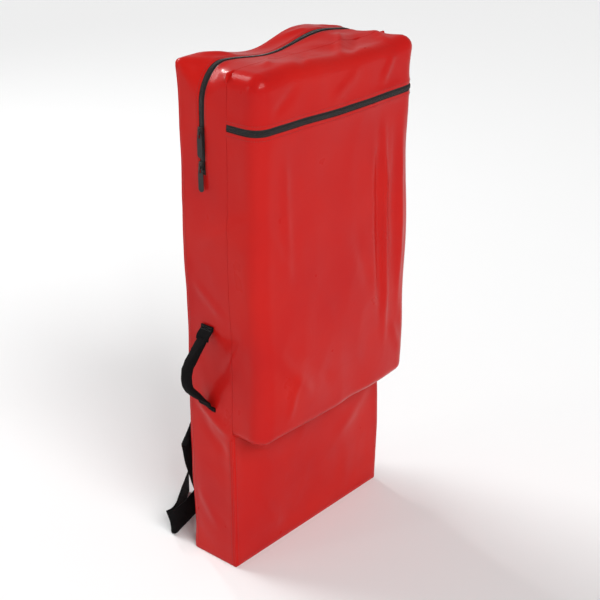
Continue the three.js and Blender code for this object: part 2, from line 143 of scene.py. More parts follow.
# Folds in the vinyl: start, end, half width and height.
FOLDS = [
    # left side
    ((-0.215, 0.046, 0.345), (-0.215, -0.062, 0.280), 0.010, 0.0045),
    ((-0.215, 0.035, 0.305), (-0.215, -0.050, 0.235), 0.011, -0.0026),
    ((-0.215, 0.045, 0.580), (-0.215, -0.050, 0.510), 0.009, 0.0020),
    ((-0.215, -0.110, 0.730), (-0.215, 0.020, 0.640), 0.010, 0.0024),
    ((-0.215, 0.045, 0.160), (-0.215, -0.020, 0.060), 0.011, 0.0020),
    ((-0.215, -0.100, 0.520), (-0.215, -0.030, 0.400), 0.009, 0.0022),
    # right side
    ((0.215, 0.046, 0.330), (0.215, -0.062, 0.285), 0.011, 0.0036),
    ((0.215, -0.100, 0.660), (0.215, 0.040, 0.560), 0.010, 0.0022),
    ((0.215, 0.045, 0.440), (0.215, -0.080, 0.400), 0.009, -0.0020),
    ((0.215, -0.110, 0.500), (0.215, -0.060, 0.360), 0.008, 0.0022),
    # back
    ((-0.070, 0.055, 0.925), (-0.185, 0.055, 0.815), 0.008, 0.0050),
    ((-0.100, 0.055, 0.925), (-0.165, 0.055, 0.850), 0.006, -0.0040),
    ((-0.110, 0.055, 0.720), (-0.208, 0.055, 0.640), 0.012, 0.0030),
    ((-0.090, 0.055, 0.450), (-0.205, 0.055, 0.350), 0.011, 0.0026),
    ((0.160, 0.055, 0.660), (0.207, 0.055, 0.540), 0.009, 0.0026),
    ((0.030, 0.055, 0.500), (0.022, 0.055, 0.340), 0.011, 0.0020),
    ((-0.190, 0.055, 0.220), (-0.060, 0.055, 0.120), 0.013, 0.0026),
    ((0.010, 0.055, 0.180), (0.080, 0.055, 0.040), 0.012, 0.0020),
    ((0.195, 0.055, 0.200), (0.150, 0.055, 0.060), 0.011, 0.0024),
    # front below the pocket
    ((-0.205, -0.055, 0.262), (-0.060, -0.055, 0.190), 0.013, 0.0022),
    ((0.205, -0.055, 0.250), (0.070, -0.055, 0.150), 0.015, 0.0022),
    ((-0.150, -0.055, 0.140), (-0.080, -0.055, 0.020), 0.013, 0.0018),
    # hood and lid, across the top
    ((0.010, -0.110, 0.960), (0.130, -0.015, 0.960), 0.007, 0.0044),
    ((0.030, -0.118, 0.960), (0.165, -0.030, 0.960), 0.008, -0.0028),
    ((-0.160, -0.090, 0.960), (-0.060, -0.020, 0.960), 0.008, 0.0030),
    ((-0.110, -0.120, 0.960), (-0.020, -0.060, 0.960), 0.009, -0.0026),
    ((0.150, -0.110, 0.960), (0.200, -0.030, 0.960), 0.008, 0.0034),
    ((-0.180, 0.050, 0.960), (-0.100, 0.010, 0.960), 0.007, 0.0030),
    ((0.020, 0.050, 0.960), (0.090, 0.010, 0.960), 0.008, 0.0030),
    ((0.130, 0.050, 0.960), (0.190, 0.014, 0.960), 0.008, 0.0034),
    ((-0.190, -0.125, 0.885), (-0.110, -0.125, 0.935), 0.009, -0.0024),
    ((-0.040, -0.125, 0.885), (0.060, -0.125, 0.930), 0.011, 0.0024),
    ((0.110, -0.125, 0.885), (0.150, -0.125, 0.940), 0.008, 0.0030),
    # pocket front
    ((0.122, -0.127, 0.856), (0.132, -0.130, 0.330), 0.0062, 0.0072),
    ((0.105, -0.127, 0.850), (0.114, -0.130, 0.380), 0.009, -0.0046),
    ((0.178, -0.125, 0.856), (0.174, -0.127, 0.400), 0.007, 0.0052),
    ((0.155, -0.125, 0.840), (0.152, -0.127, 0.480), 0.008, -0.0022),
    ((-0.150, -0.125, 0.850), (-0.140, -0.128, 0.560), 0.009, 0.0024),
    ((-0.200, -0.120, 0.480), (-0.070, -0.130, 0.340), 0.013, 0.0040),
    ((-0.130, -0.128, 0.440), (-0.010, -0.130, 0.350), 0.012, -0.0030),
    ((0.030, -0.130, 0.660), (0.090, -0.130, 0.480), 0.014, -0.0022),
    ((-0.205, -0.110, 0.720), (-0.130, -0.125, 0.580), 0.010, 0.0026),
    ((-0.150, -0.125, 0.310), (-0.120, -0.128, 0.420), 0.008, 0.0024),
    ((0.195, -0.120, 0.320), (0.150, -0.127, 0.420), 0.009, 0.0026),
]


FOLD_WIDTH = 1.05  # every fold above is made this much wider
FOLD_HEIGHT = 1.15  # and this much higher


def fold_facts(start, end, width, height):
    start = Vector(start)
    run = Vector(end) - start
    return start, run, run.length_squared, width * FOLD_WIDTH, height * FOLD_HEIGHT


FOLD_FACTS = [fold_facts(*f) for f in FOLDS]


def held(point):
    """1 where the vinyl is free to wander, and 0 where hardware or the ground holds it."""
    free = smooth(point.z / GROUND_HOLD)
    for spot, reach in HELD:
        free *= 1.0 - math.exp(-(((point - spot).length / reach) ** 2))
    return free


def slack(point):
    """Where a point of the tidy case ends up once the cover has settled."""
    free = held(point)
    moved = Vector(point)
    moved += noise.noise_vector(point * WAVE_SCALE) * (WAVE * free)
    moved += noise.noise_vector(point * WAVE_SCALE * SMALLER) * (SMALL_WAVE * free)
    for centre, spread, push in SAGS:
        far = 0.0
        for i in range(3):
            far += ((point[i] - centre[i]) / spread[i]) ** 2
        if far < SPENT:
            moved += Vector(push) * math.exp(-far)
    return moved


def smooth(x):
    x = min(max(x, 0.0), 1.0)
    return x * x * (3.0 - 2.0 * x)


def fold_rise(point):
    rise = 0.0
    for start, run, length, width, height in FOLD_FACTS:
        off = point - start
        along = off.dot(run) / length
        if along < 0.0 or along > 1.0:
            continue
        aside = (off - run * along).length_squared / (width * width)
        if aside < SPENT:
            rise += height * smooth(min(along, 1.0 - along) * 3.0) * math.exp(-aside)
    return rise


def draped(place, ripple=1.0):
    """The lie of one panel: place(a, b) gives its point, outward normal, distance from the
    nearest seam and place on the cloth; ripples, gathers, folds and sags are then put in."""

    def lie(a, b):
        point, normal, seam, cloth = place(a, b)
        rise = 0.0
        if ripple:
            wave = Vector((point[i] * RIPPLE_SCALE[i] for i in range(3)))
            crease = Vector((point[i] * CRINKLE_SCALE[i] + 3.0 for i in range(3)))
            rise = RIPPLE * noise.noise(wave)
            rise -= CRINKLE * (abs(noise.noise(crease)) - 0.2)
            rise += fold_rise(point)
            rise *= smooth(seam / SEAM_FADE)
            gather = noise.noise(point * PUCKER_SCALE)
            rise += PUCKER * gather * math.exp(-seam / PUCKER_DEPTH) * smooth(seam / PUCKER_START)
            rise *= ripple * held(point)
        return slack(point + normal * rise), normal, cloth

    return lie


def edge_drop(distance):
    """How far a panel curves in at this distance from the square corner, and the slope there."""
    if distance >= EDGE:
        return 0.0, 0.0
    lean = (EDGE - distance) / EDGE
    return EDGE - EDGE * math.sqrt(max(1.0 - lean * lean, 0.0)), lean


EDGE_STEPS = (0.0012, 0.0028, EDGE - EDGE_LINE)  # distances in from a seam, over the round


def stations(start, end, step, round_start=True, round_end=True):
    """Places from start to end about a step apart, and closer where an edge is rounded."""
    first = list(EDGE_STEPS) if round_start else []
    last = list(EDGE_STEPS) if round_end else []
    low = start + (first[-1] if first else 0.0)
    high = end - (last[-1] if last else 0.0)
    count = max(1, round((high - low) / step))
    middle = [low + (high - low) * i / count for i in range(count + 1)]
    before = [start] + [start + d for d in first[:-1]] if first else []
    after = [end - d for d in reversed(last[:-1])] + [end] if last else []
    return before + middle + after


# ---- meshes ----
def placed(name, data):
    """A new object in the scene."""
    piece = bpy.data.objects.new(name, data)
    bpy.context.scene.collection.objects.link(piece)
    return piece


def new_piece(name, points, faces, material, cloth=None):
    mesh = bpy.data.meshes.new(name)
    mesh.from_pydata([tuple(p) for p in points], [], faces)
    if cloth is not None:
        uv = mesh.uv_layers.new(name="cloth")
        for loop in mesh.loops:
            uv.data[loop.index].uv = cloth[loop.vertex_index]
    mesh.shade_smooth()
    mesh.materials.append(material)
    mesh.validate()
    return placed(name, mesh)


def skin(name, across, along, lie, material, thickness=VINYL):
    """A sheet laid over the places across x along, with its thickness inwards."""
    points = []
    normals = []
    cloth = []
    for b in along:
        for a in across:
            point, normal, laid = lie(a, b)
            points.append(point)
            normals.append(normal)
            cloth.append(laid)
    width = len(across)
    faces = []
    for j in range(len(along) - 1):
        for i in range(width - 1):
            k = j * width + i
            faces.append((k, k + 1, k + width + 1, k + width))
    probe = (len(along) // 2 - 1) * width + width // 2
    one = (points[probe + 1] - points[probe]).cross(points[probe + width] - points[probe])
    if one.dot(normals[probe]) < 0.0:
        faces = [tuple(reversed(f)) for f in faces]
    piece = new_piece(name, points, faces, material, cloth)
    sharpen_border(piece)
    if thickness:
        wall = piece.modifiers.new("wall", "SOLIDIFY")
        wall.thickness = thickness
        wall.offset = -1.0
        wall.use_even_offset = False
    return piece


def sharpen_border(piece):
    """Cut edges are shaded apart from the face of the sheet."""
    mesh = bmesh.new()
    mesh.from_mesh(piece.data)
    for edge in mesh.edges:
        if edge.is_boundary:
            edge.smooth = False
    mesh.to_mesh(piece.data)
    mesh.free()


def on_body(piece, body, slot, *nodes):
    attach(piece, body)
    if nodes:
        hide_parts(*nodes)
    return piece


def bending(piece, bodies, start, end, slot, *nodes):
    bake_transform(piece)
    if nodes:
        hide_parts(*nodes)
    return piece


# ---- materials ----
def shader(name, colour, roughness, metallic=0.0, **fixed):
    material = bpy.data.materials.new(name)
    material.use_nodes = True
    surface = material.node_tree.nodes["Principled BSDF"]
    surface.inputs["Base Color"].default_value = (*colour, 1.0)
    surface.inputs["Roughness"].default_value = roughness
    surface.inputs["Metallic"].default_value = metallic
    for socket, value in fixed.items():
        surface.inputs[socket.replace("_", " ")].default_value = value
    return material, material.node_tree, surface


def noise_node(tree, source, scale, detail=2.0, distortion=0.0, roughness=0.5):
    texture = tree.nodes.new("ShaderNodeTexNoise")
    texture.inputs["Scale"].default_value = scale
    texture.inputs["Detail"].default_value = detail
    texture.inputs["Distortion"].default_value = distortion
    texture.inputs["Roughness"].default_value = roughness
    tree.links.new(source, texture.inputs["Vector"])
    return texture.outputs["Fac"]


def vary_colour(tree, surface, fac, dark, light):
    mix = tree.nodes.new("ShaderNodeMix")
    mix.data_type = "RGBA"
    mix.inputs["A"].default_value = (*dark, 1.0)
    mix.inputs["B"].default_value = (*light, 1.0)
    tree.links.new(fac, mix.inputs["Factor"])
    tree.links.new(mix.outputs["Result"], surface.inputs["Base Color"])


def vary_roughness(tree, surface, fac, low, high):
    spread = tree.nodes.new("ShaderNodeMapRange")
    spread.inputs["From Min"].default_value = 0.3
    spread.inputs["From Max"].default_value = 0.7
    spread.inputs["To Min"].default_value = low
    spread.inputs["To Max"].default_value = high
    tree.links.new(fac, spread.inputs["Value"])
    tree.links.new(spread.outputs["Result"], surface.inputs["Roughness"])


def bump(tree, height, distance, strength, below=None):
    node = tree.nodes.new("ShaderNodeBump")
    node.inputs["Distance"].default_value = distance
    node.inputs["Strength"].default_value = strength
    tree.links.new(height, node.inputs["Height"])
    if below is not None:
        tree.links.new(below, node.inputs["Normal"])
    return node.outputs["Normal"]


RIB_AT_SCALE_1 = 0.314159  # pitch of the wave texture at scale 1, in metres


def wave_node(tree, source, direction, pitch):
    """Even ribs at this pitch in metres."""
    wave = tree.nodes.new("ShaderNodeTexWave")
    wave.bands_direction = direction
    wave.inputs["Scale"].default_value = RIB_AT_SCALE_1 / pitch
    tree.links.new(source, wave.inputs["Vector"])
    return wave.outputs["Fac"]


def maths(tree, operation, first, second):
    node = tree.nodes.new("ShaderNodeMath")
    node.operation = operation
    for socket, value in zip(node.inputs, (first, second)):
        if isinstance(value, (int, float)):
            socket.default_value = value
        elif value is not None:
            tree.links.new(value, socket)
    return node.outputs["Value"]


def coordinates(tree, kind):
    return tree.nodes.new("ShaderNodeTexCoord").outputs[kind]


def glossy_vinyl():
    """Tarpaulin vinyl: soft gloss, small crinkles, and the scrim showing faintly through."""
    material, tree, surface = shader(
        "red_vinyl", (0.49, 0.008, 0.007), 0.32,
        Coat_Weight=0.15, Coat_Roughness=0.14, Specular_IOR_Level=0.07,
    )
    place = coordinates(tree, "Object")
    cloth = coordinates(tree, "UV")
    patches = noise_node(tree, place, 5.0, 3.0)
    vary_colour(tree, surface, patches, (0.42, 0.005, 0.007), (0.57, 0.013, 0.007))
    vary_roughness(tree, surface, noise_node(tree, place, 16.0, 3.0), 0.27, 0.40)
    crinkle = bump(tree, noise_node(tree, place, 17.0, 3.0, 0.5), 0.004, 0.28)
    warp = wave_node(tree, cloth, "X", 0.0011)
    weft = wave_node(tree, cloth, "Y", 0.0011)
    scrim = bump(tree, maths(tree, "ADD", warp, weft), 0.00002, 0.12, crinkle)
    grain = bump(tree, noise_node(tree, place, 900.0, 1.0), 0.00005, 0.4, scrim)
    tree.links.new(grain, surface.inputs["Normal"])
    return material


def black_webbing():
    """Woven nylon webbing: rows of slanting yarns, with plain edges."""
    material, tree, surface = shader(
        "black_webbing", (0.004, 0.0036, 0.004), 0.78, Specular_IOR_Level=0.07,
    )
    parts = tree.nodes.new("ShaderNodeSeparateXYZ")
    tree.links.new(coordinates(tree, "UV"), parts.inputs["Vector"])
    aside = maths(tree, "ABSOLUTE", parts.outputs["X"], None)
    slant = maths(tree, "ADD", maths(tree, "MULTIPLY", aside, 2600.0), 0.5)
    run = maths(tree, "MULTIPLY", parts.outputs["Y"], 3400.0)
    yarns = maths(tree, "SINE", maths(tree, "ADD", slant, run), None)
    rows = maths(tree, "SINE", maths(tree, "MULTIPLY", parts.outputs["X"], 4200.0), None)
    weave = bump(tree, maths(tree, "ADD", yarns, rows), 0.00022, 0.55)
    tree.links.new(weave, surface.inputs["Normal"])
    lint = noise_node(tree, coordinates(tree, "Object"), 120.0, 4.0)
    vary_colour(tree, surface, lint, (0.0024, 0.0020, 0.0024), (0.007, 0.0062, 0.0066))
    return material


def zip_cloth():
    material, tree, surface = shader("zip_tape", (0.012, 0.010, 0.010), 0.8)
    place = coordinates(tree, "Object")
    ribs = noise_node(tree, place, 1500.0, 1.0)
    tree.links.new(bump(tree, ribs, 0.0002, 0.6), surface.inputs["Normal"])
    vary_colour(tree, surface, noise_node(tree, place, 90.0), (0.008, 0.007, 0.007), (0.02, 0.016, 0.016))
    return material


def moulded(name, colour, roughness, scale=260.0, metallic=0.0, depth=0.0001):
    """A moulded or cast finish with a fine grain and slightly uneven gloss."""
    material, tree, surface = shader(name, colour, roughness, metallic)
    place = coordinates(tree, "Object")
    grain = noise_node(tree, place, scale, 2.0)
    tree.links.new(bump(tree, grain, depth, 0.35), surface.inputs["Normal"])
    vary_roughness(tree, surface, noise_node(tree, place, 24.0, 3.0), roughness - 0.06, roughness + 0.08)
    darker = tuple(c * 0.82 for c in colour)
    vary_colour(tree, surface, noise_node(tree, place, 9.0, 3.0), darker, colour)
    return material


RED = glossy_vinyl()
STRAP = black_webbing()
TAPE = zip_cloth()
COIL = moulded("zip_coil", (0.014, 0.012, 0.012), 0.34)
METAL = moulded("zip_metal", (0.075, 0.070, 0.066), 0.36, metallic=0.9)
PULL = moulded("pull_tab", (0.010, 0.008, 0.008), 0.60)
PLASTIC = moulded("black_plastic", (0.012, 0.011, 0.013), 0.42, 600.0)
BOARD = moulded("board_plastic", (0.70, 0.36, 0.015), 0.42, 380.0, depth=0.00025)
STEEL = moulded("steel", (0.55, 0.56, 0.57), 0.30, 500.0, metallic=1.0)
RED_THREAD = moulded("red_thread", (0.30, 0.010, 0.010), 0.55)
BLACK_THREAD = moulded("black_thread", (0.016, 0.014, 0.015), 0.7)


# ---- repeated small pieces along a path ----
def repeat_tree():
    """Beads of one size set along a path at a pitch, each turned to the path and its facing."""
    tree = bpy.data.node_groups.new("beads_on_path", "GeometryNodeTree")
    face = tree.interface
    face.new_socket("Geometry", in_out="INPUT", socket_type="NodeSocketGeometry")
    for name in ("Pitch", "Length", "Width", "Height"):
        face.new_socket(name, in_out="INPUT", socket_type="NodeSocketFloat")
    face.new_socket("Finish", in_out="INPUT", socket_type="NodeSocketMaterial")
    face.new_socket("Geometry", in_out="OUTPUT", socket_type="NodeSocketGeometry")
    make = tree.nodes.new
    link = tree.links.new
    given = make("NodeGroupInput")
    result = make("NodeGroupOutput")
    path = make("GeometryNodeMeshToCurve")
    spaced = make("GeometryNodeResampleCurve")
    spaced.mode = "LENGTH"
    bead = make("GeometryNodeMeshUVSphere")
    bead.inputs["Segments"].default_value = 8
    bead.inputs["Rings"].default_value = 5
    bead.inputs["Radius"].default_value = 0.5
    tangent = make("GeometryNodeInputTangent")
    facing = make("GeometryNodeInputNamedAttribute")
    facing.data_type = "FLOAT_VECTOR"
    facing.inputs["Name"].default_value = "facing"
    along = make("FunctionNodeAlignRotationToVector")
    along.axis = "X"
    upright = make("FunctionNodeAlignRotationToVector")
    upright.axis = "Z"
    upright.pivot_axis = "X"
    size = make("ShaderNodeCombineXYZ")
    beads = make("GeometryNodeInstanceOnPoints")
    real = make("GeometryNodeRealizeInstances")
    painted = make("GeometryNodeSetMaterial")
    link(given.outputs["Geometry"], path.inputs["Mesh"])
    link(path.outputs["Curve"], spaced.inputs["Curve"])
    link(given.outputs["Pitch"], spaced.inputs["Length"])
    link(spaced.outputs["Curve"], beads.inputs["Points"])
    link(bead.outputs["Mesh"], beads.inputs["Instance"])
    link(tangent.outputs["Tangent"], along.inputs["Vector"])
    link(along.outputs["Rotation"], upright.inputs["Rotation"])
    link(facing.outputs["Attribute"], upright.inputs["Vector"])
    link(upright.outputs["Rotation"], beads.inputs["Rotation"])
    link(given.outputs["Length"], size.inputs["X"])
    link(given.outputs["Width"], size.inputs["Y"])
    link(given.outputs["Height"], size.inputs["Z"])
    link(size.outputs["Vector"], beads.inputs["Scale"])
    link(beads.outputs["Instances"], real.inputs["Geometry"])
    link(real.outputs["Geometry"], painted.inputs["Geometry"])
    link(given.outputs["Finish"], painted.inputs["Material"])
    link(painted.outputs["Geometry"], result.inputs["Geometry"])
    return tree


BEADS = repeat_tree()


def beads(name, paths, pitch, size, material):
    """Beads along each path of (point, facing) pairs, as one plain mesh."""
    points = []
    facings = []
    edges = []
    for path in paths:
        first = len(points)
        for point, facing in path:
            points.append(tuple(point))
            facings.append(facing)
        edges += [(i, i + 1) for i in range(first, len(points) - 1)]
    mesh = bpy.data.meshes.new(name + "_path")
    mesh.from_pydata(points, edges, [])
    attribute = mesh.attributes.new("facing", "FLOAT_VECTOR", "POINT")
    for i, facing in enumerate(facings):
        attribute.data[i].vector = facing
    guide = placed(name + "_path", mesh)
    modifier = guide.modifiers.new("beads", "NODES")
    modifier.node_group = BEADS
    values = {"Pitch": pitch, "Length": size[0], "Width": size[1], "Height": size[2], "Finish": material}
    for item in BEADS.interface.items_tree:
        if item.in_out == "INPUT" and item.name in values:
            modifier[item.identifier] = values[item.name]
    bpy.context.view_layer.update()
    graph = bpy.context.evaluated_depsgraph_get()
    made = bpy.data.meshes.new_from_object(guide.evaluated_get(graph))
    guide.modifiers.remove(modifier)
    bpy.data.objects.remove(guide)
    made.name = name
    made.shade_smooth()
    return placed(name, made)


STITCH = (0.0031, 0.0009, 0.0007)
STITCH_PITCH = 0.0045
HEAVY_STITCH = (0.0034, 0.0011, 0.0009)
TOOTH = (0.0016, 0.0042, 0.0022)
TOOTH_PITCH = 0.0021


def black_stitches(name, paths, body, pitch=STITCH_PITCH, size=HEAVY_STITCH):
    """Black thread along the paths, riding on one body."""
    on_body(beads(name, paths, pitch, size, BLACK_THREAD), body, "black_webbing")


def on_surface(lie, places, lift=0.0002):
    """A path of (point, facing) pairs over a draped panel."""
    path = []
    for a, b in places:
        point, normal, _ = lie(a, b)
        path.append((point + normal * lift, normal))
    return path


def tube(name, path, radius, material, sides=8):
    """A round cord of piping along (point, facing) pairs, closed at both ends."""
    points = []
    faces = []
    count = len(path)
    for i, (point, facing) in enumerate(path):
        ahead = path[min(i + 1, count - 1)][0] - path[max(i - 1, 0)][0]
        ahead.normalize()
        up = (facing - ahead * facing.dot(ahead)).normalized()
        out = ahead.cross(up)
        for k in range(sides):
            turn = math.tau * k / sides
            points.append(point + (up * math.cos(turn) + out * math.sin(turn)) * radius)
    for i in range(count - 1):
        for k in range(sides):
            a = i * sides + k
            b = i * sides + (k + 1) % sides
            faces.append((a, a + sides, b + sides, b))
    faces.append(tuple(range(sides)))
    last = (count - 1) * sides
    faces.append(tuple(last + k for k in reversed(range(sides))))
    return new_piece(name, points, faces, material, [(0.0, 0.0)] * len(points))


# ---- board compartment ----
def corner_radius(y):
    share = min(abs(y) / BACK, 1.0)
    edge = SHARP_CORNER if y > 0.0 else BROW
    return SOFT_CORNER + (edge - SOFT_CORNER) * smooth(share)


def round_corner(share, radius):
    """A place along a rounded corner of CORNER_REACH: how far up, how far across, and the turn."""
    straight = CORNER_REACH - radius
    length = 2.0 * straight + radius * math.pi / 2.0
    gone = share * length
    if gone <= straight:
        return gone, 0.0, 0.0
    if gone < straight + radius * math.pi / 2.0:
        turn = (gone - straight) / radius
        return straight + radius * math.sin(turn), radius * (1.0 - math.cos(turn)), turn
    return CORNER_REACH, radius + gone - straight - radius * math.pi / 2.0, math.pi / 2.0


CORNER_RUN = 0.095  # nominal length of a corner along the girth
FLAT_TOP = 2.0 * (SIDE - CORNER_REACH)
SHOULDER = TOP - CORNER_REACH


def girth(run, y):
    """A point of the case's outline. The run is measured from the fold height on the left
    side, up, over the top and down to the same height on the right."""
    rise = SHOULDER - FLAP_FOLD
    radius = corner_radius(y)
    whole = 2.0 * (rise + CORNER_RUN) + FLAT_TOP
    way = -1.0
    if run > whole / 2.0:
        run = whole - run
        way = 1.0
    if run <= rise:
        up, across, turn = run - rise, 0.0, 0.0
    elif run <= rise + CORNER_RUN:
        up, across, turn = round_corner((run - rise) / CORNER_RUN, radius)
    else:
        up, across, turn = CORNER_REACH, CORNER_REACH + run - rise - CORNER_RUN, math.pi / 2.0
    point = Vector((way * (SIDE - across), y, SHOULDER + up))
    out = Vector((way * math.cos(turn), 0.0, math.sin(turn)))
    return point, out


GIRTH = 2.0 * (SHOULDER - FLAP_FOLD + CORNER_RUN) + FLAT_TOP


HEM = 0.0006  # how far the folded hem beside a zip stands up
HEM_ROUND = 0.0015
HEM_WIDTH = 0.007
HEM_FADE = 0.003


def hem_rise(off):
    """How much the hem stands up at this distance from the zip's opening."""
    return HEM * smooth(off / HEM_ROUND) * (1.0 - smooth((off - HEM_WIDTH) / HEM_FADE))


def zip_hem(y):
    """How far y is from the zip's opening, and how much the hem there stands up."""
    zip_side = max(abs(y) - ZIP_EDGE, 0.0)
    return zip_side, hem_rise(zip_side)


def hood_place(y, run):
    point, out = girth(run, y)
    drop, lean = edge_drop(BACK - y)
    facing = out * math.sqrt(max(1.0 - lean * lean, 0.0))
    facing.y = lean
    zip_side, hem = zip_hem(y)
    seam = min(BACK - y, zip_side + 0.004)
    point = point - out * (drop - hem)
    return point, facing.normalized(), max(seam, 0.0), (run, y)


def panel_half_width(z):
    radius = SHARP_CORNER - EDGE_LINE
    half = SIDE - EDGE_LINE
    over = z - (TOP - EDGE_LINE - radius)
    if over <= 0.0:
        return half
    return half - radius + math.sqrt(max(radius * radius - over * over, 0.0))


def panel_place(way):
    """The flat front (way -1) or back (way 1) panel, rounded along its edges."""

    def place(share, z):
        half = panel_half_width(z)
        x = share * half
        aside = half - abs(x) + EDGE_LINE
        low = z
        high = TOP - z
        near = min(aside, low, high)
        drop, lean = edge_drop(near)
        facing = Vector((0.0, way * math.sqrt(max(1.0 - lean * lean, 0.0)), 0.0))
        if near == aside:
            facing.x = math.copysign(lean, x)
        elif near == high:
            facing.z = lean
        else:
            facing.z = -lean
        point = Vector((x, way * (BACK - drop), z))
        return point, facing.normalized(), near, (x, z)

    return place


def gusset_place(way):
    """A side of the case below the zip."""

    def place(y, z):
        drop, lean = edge_drop(BACK - abs(y))
        flush = smooth((z - POCKET_FOOT + 0.004) / 0.010) if y < 0.0 else 0.0
        drop, lean = drop * (1.0 - flush), lean * (1.0 - flush)
        sunk, dip = edge_drop(z)
        facing = Vector((way * math.sqrt(max(1.0 - lean * lean - dip * dip, 0.05)), 0.0, -dip))
        facing.y = math.copysign(lean, y)
        near_zip = smooth((z - FLAP_FOLD + 0.040) / 0.040)
        zip_side, hem = zip_hem(y)
        point = Vector((way * (SIDE + hem * near_zip - max(drop, sunk)), y, z))
        seam = min(BACK - abs(y) + 0.1 * flush, z, zip_side + 0.004 + 0.1 * (1.0 - near_zip))
        return point, facing.normalized(), max(seam, 0.0), (y, z)

    return place


back_lie = draped(panel_place(1.0))
front_lie = draped(panel_place(-1.0))
left_lie = draped(gusset_place(-1.0))
right_lie = draped(gusset_place(1.0))
hood_lie = draped(hood_place)

# the two bodies that a fold joins, and where the fold starts and ends
MOUTH_FOLD = (("case", "mouth_flap"), (0.0, BACK, FLAP_FOLD), (0.0, BACK, FLAP_FOLD + 0.085))
PANEL_STEP = 0.006


def panel_rows():
    radius = SHARP_CORNER - EDGE_LINE
    rows = stations(EDGE_LINE, TOP - EDGE_LINE - radius, PANEL_STEP, True, False)
    high = TOP - EDGE_LINE
    turns = [math.pi / 2.0 * i / 7 for i in range(1, 8)]
    return rows + [high - radius + radius * math.sin(t) for t in turns]


def panel_columns():
    half = SIDE - EDGE_LINE
    return [x / half for x in stations(-half, half, PANEL_STEP)]


def add_compartment():
    columns = panel_columns()
    rows = panel_rows()
    back = skin("back_vinyl", columns, rows, back_lie, RED)
    bending(back, *MOUTH_FOLD, "red_vinyl", "back_panel", "flap_back_panel")
    front = skin("front_vinyl", columns, rows, front_lie, RED)
    on_body(front, "case", "red_vinyl", "board_panel")
    across = stations(-BACK, BACK - EDGE_LINE, 0.0055)
    up = stations(EDGE_LINE, FLAP_FOLD, PANEL_STEP, True, False)
    for name, lie in (("left", left_lie), ("right", right_lie)):
        side = skin(f"side_vinyl_{name}", across, up, lie, RED)
        on_body(side, "case", "red_vinyl", f"side_gusset_{name}")
    runs = stations(0.0, GIRTH, 0.0055, False, False)
    rear = stations(ZIP_EDGE, BACK - EDGE_LINE, 0.0045, False, True)
    fore = stations(-BACK, -ZIP_EDGE, 0.0045, False, False)
    hood = skin("hood_front_vinyl", fore, runs, hood_lie, RED)
    on_body(hood, "case", "red_vinyl", "mouth_gusset")
    flap = skin("hood_rear_vinyl", rear, runs, hood_lie, RED)
    bending(flap, *MOUTH_FOLD, "red_vinyl", "flap_gusset")


def base_place(x, y):
    aside = min(SIDE - abs(x), BACK - abs(y))
    drop, _ = edge_drop(aside)
    facing = Vector((0.0, 0.0, -1.0))
    return Vector((x, y, drop)), facing, aside, (x, y)


def add_base():
    lie = draped(base_place, 0.0)
    half = SIDE - EDGE_LINE
    across = stations(-half, half, 0.012)
    deep = stations(-BACK + EDGE_LINE, BACK - EDGE_LINE, 0.010)
    base = skin("base_vinyl", across, deep, lie, RED)
    on_body(base, "case", "red_vinyl", "bottom_panel")


def line(start, end, count):
    return [start + (end - start) * i / count for i in range(count + 1)]


def back_seam():
    """The sewn edge all round the back panel, from foot to foot."""
    y = BACK - EDGE_LINE
    path = [left_lie(y, z)[:2] for z in line(EDGE_LINE, FLAP_FOLD - 0.003, 130)]
    path += [hood_lie(y, run)[:2] for run in line(0.0, GIRTH, 190)]
    path += [right_lie(y, z)[:2] for z in line(FLAP_FOLD - 0.003, EDGE_LINE, 130)]
    return path


def front_seam(side_lie):
    """The sewn edge down the front, below the pocket."""
    return [side_lie(-BACK + EDGE_LINE, z)[:2] for z in line(EDGE_LINE, POCKET_FOOT - 0.004, 60)]


def seam_foot(way):
    """The sewn edge along the bottom of the front or back panel."""
    lie = back_lie if way > 0 else front_lie
    return [lie(share, EDGE_LINE)[:2] for share in line(-1.0, 1.0, 80)]


PIPING = 0.0014


def add_seams():
    edge = tube("back_piping", back_seam(), PIPING, RED)
    bending(edge, *MOUTH_FOLD, "red_vinyl")
    for name, lie in (("left", left_lie), ("right", right_lie)):
        on_body(tube(f"front_piping_{name}", front_seam(lie), PIPING, RED), "case", "red_vinyl")
    for name, way in (("back", 1.0), ("front", -1.0)):
        on_body(tube(f"{name}_foot_piping", seam_foot(way), PIPING, RED), "case", "red_vinyl")
    for name, lie in (("left", left_lie), ("right", right_lie)):
        foot = [lie(y, EDGE_LINE)[:2] for y in line(-BACK + 0.003, BACK - 0.003, 24)]
        on_body(tube(f"{name}_foot_piping", foot, PIPING, RED), "case", "red_vinyl")
    half = SIDE - EDGE_LINE
    beside = 1.0 - 0.0065 / half
    around = [(-beside, z) for z in line(0.010, TOP - 0.020, 230)]
    around += [(share, TOP - 0.0085) for share in line(-0.95, 0.95, 90)]
    around += [(beside, z) for z in line(TOP - 0.020, 0.010, 230)]
    back = beads("back_stitches", [on_surface(back_lie, around)], STITCH_PITCH, STITCH, RED_THREAD)
    bending(back, *MOUTH_FOLD, "red_vinyl")
    lower = [(-beside, z) for z in line(POCKET_FOOT - 0.006, 0.010, 70)]
    lower += [(share, 0.009) for share in line(-beside, beside, 90)]
    lower += [(beside, z) for z in line(0.010, POCKET_FOOT - 0.006, 70)]
    front = beads("front_stitches", [on_surface(front_lie, lower)], STITCH_PITCH, STITCH, RED_THREAD)
    on_body(front, "case", "red_vinyl")
    sides = []
    for lie in (left_lie, right_lie):
        for y, high in ((-BACK + 0.0085, POCKET_FOOT - 0.010), (BACK - 0.0085, FLAP_FOLD - 0.002)):
            sides.append(on_surface(lie, [(y, z) for z in line(0.010, high, 200)]))
    on_body(beads("side_stitches", sides, STITCH_PITCH, STITCH, RED_THREAD), "case", "red_vinyl")


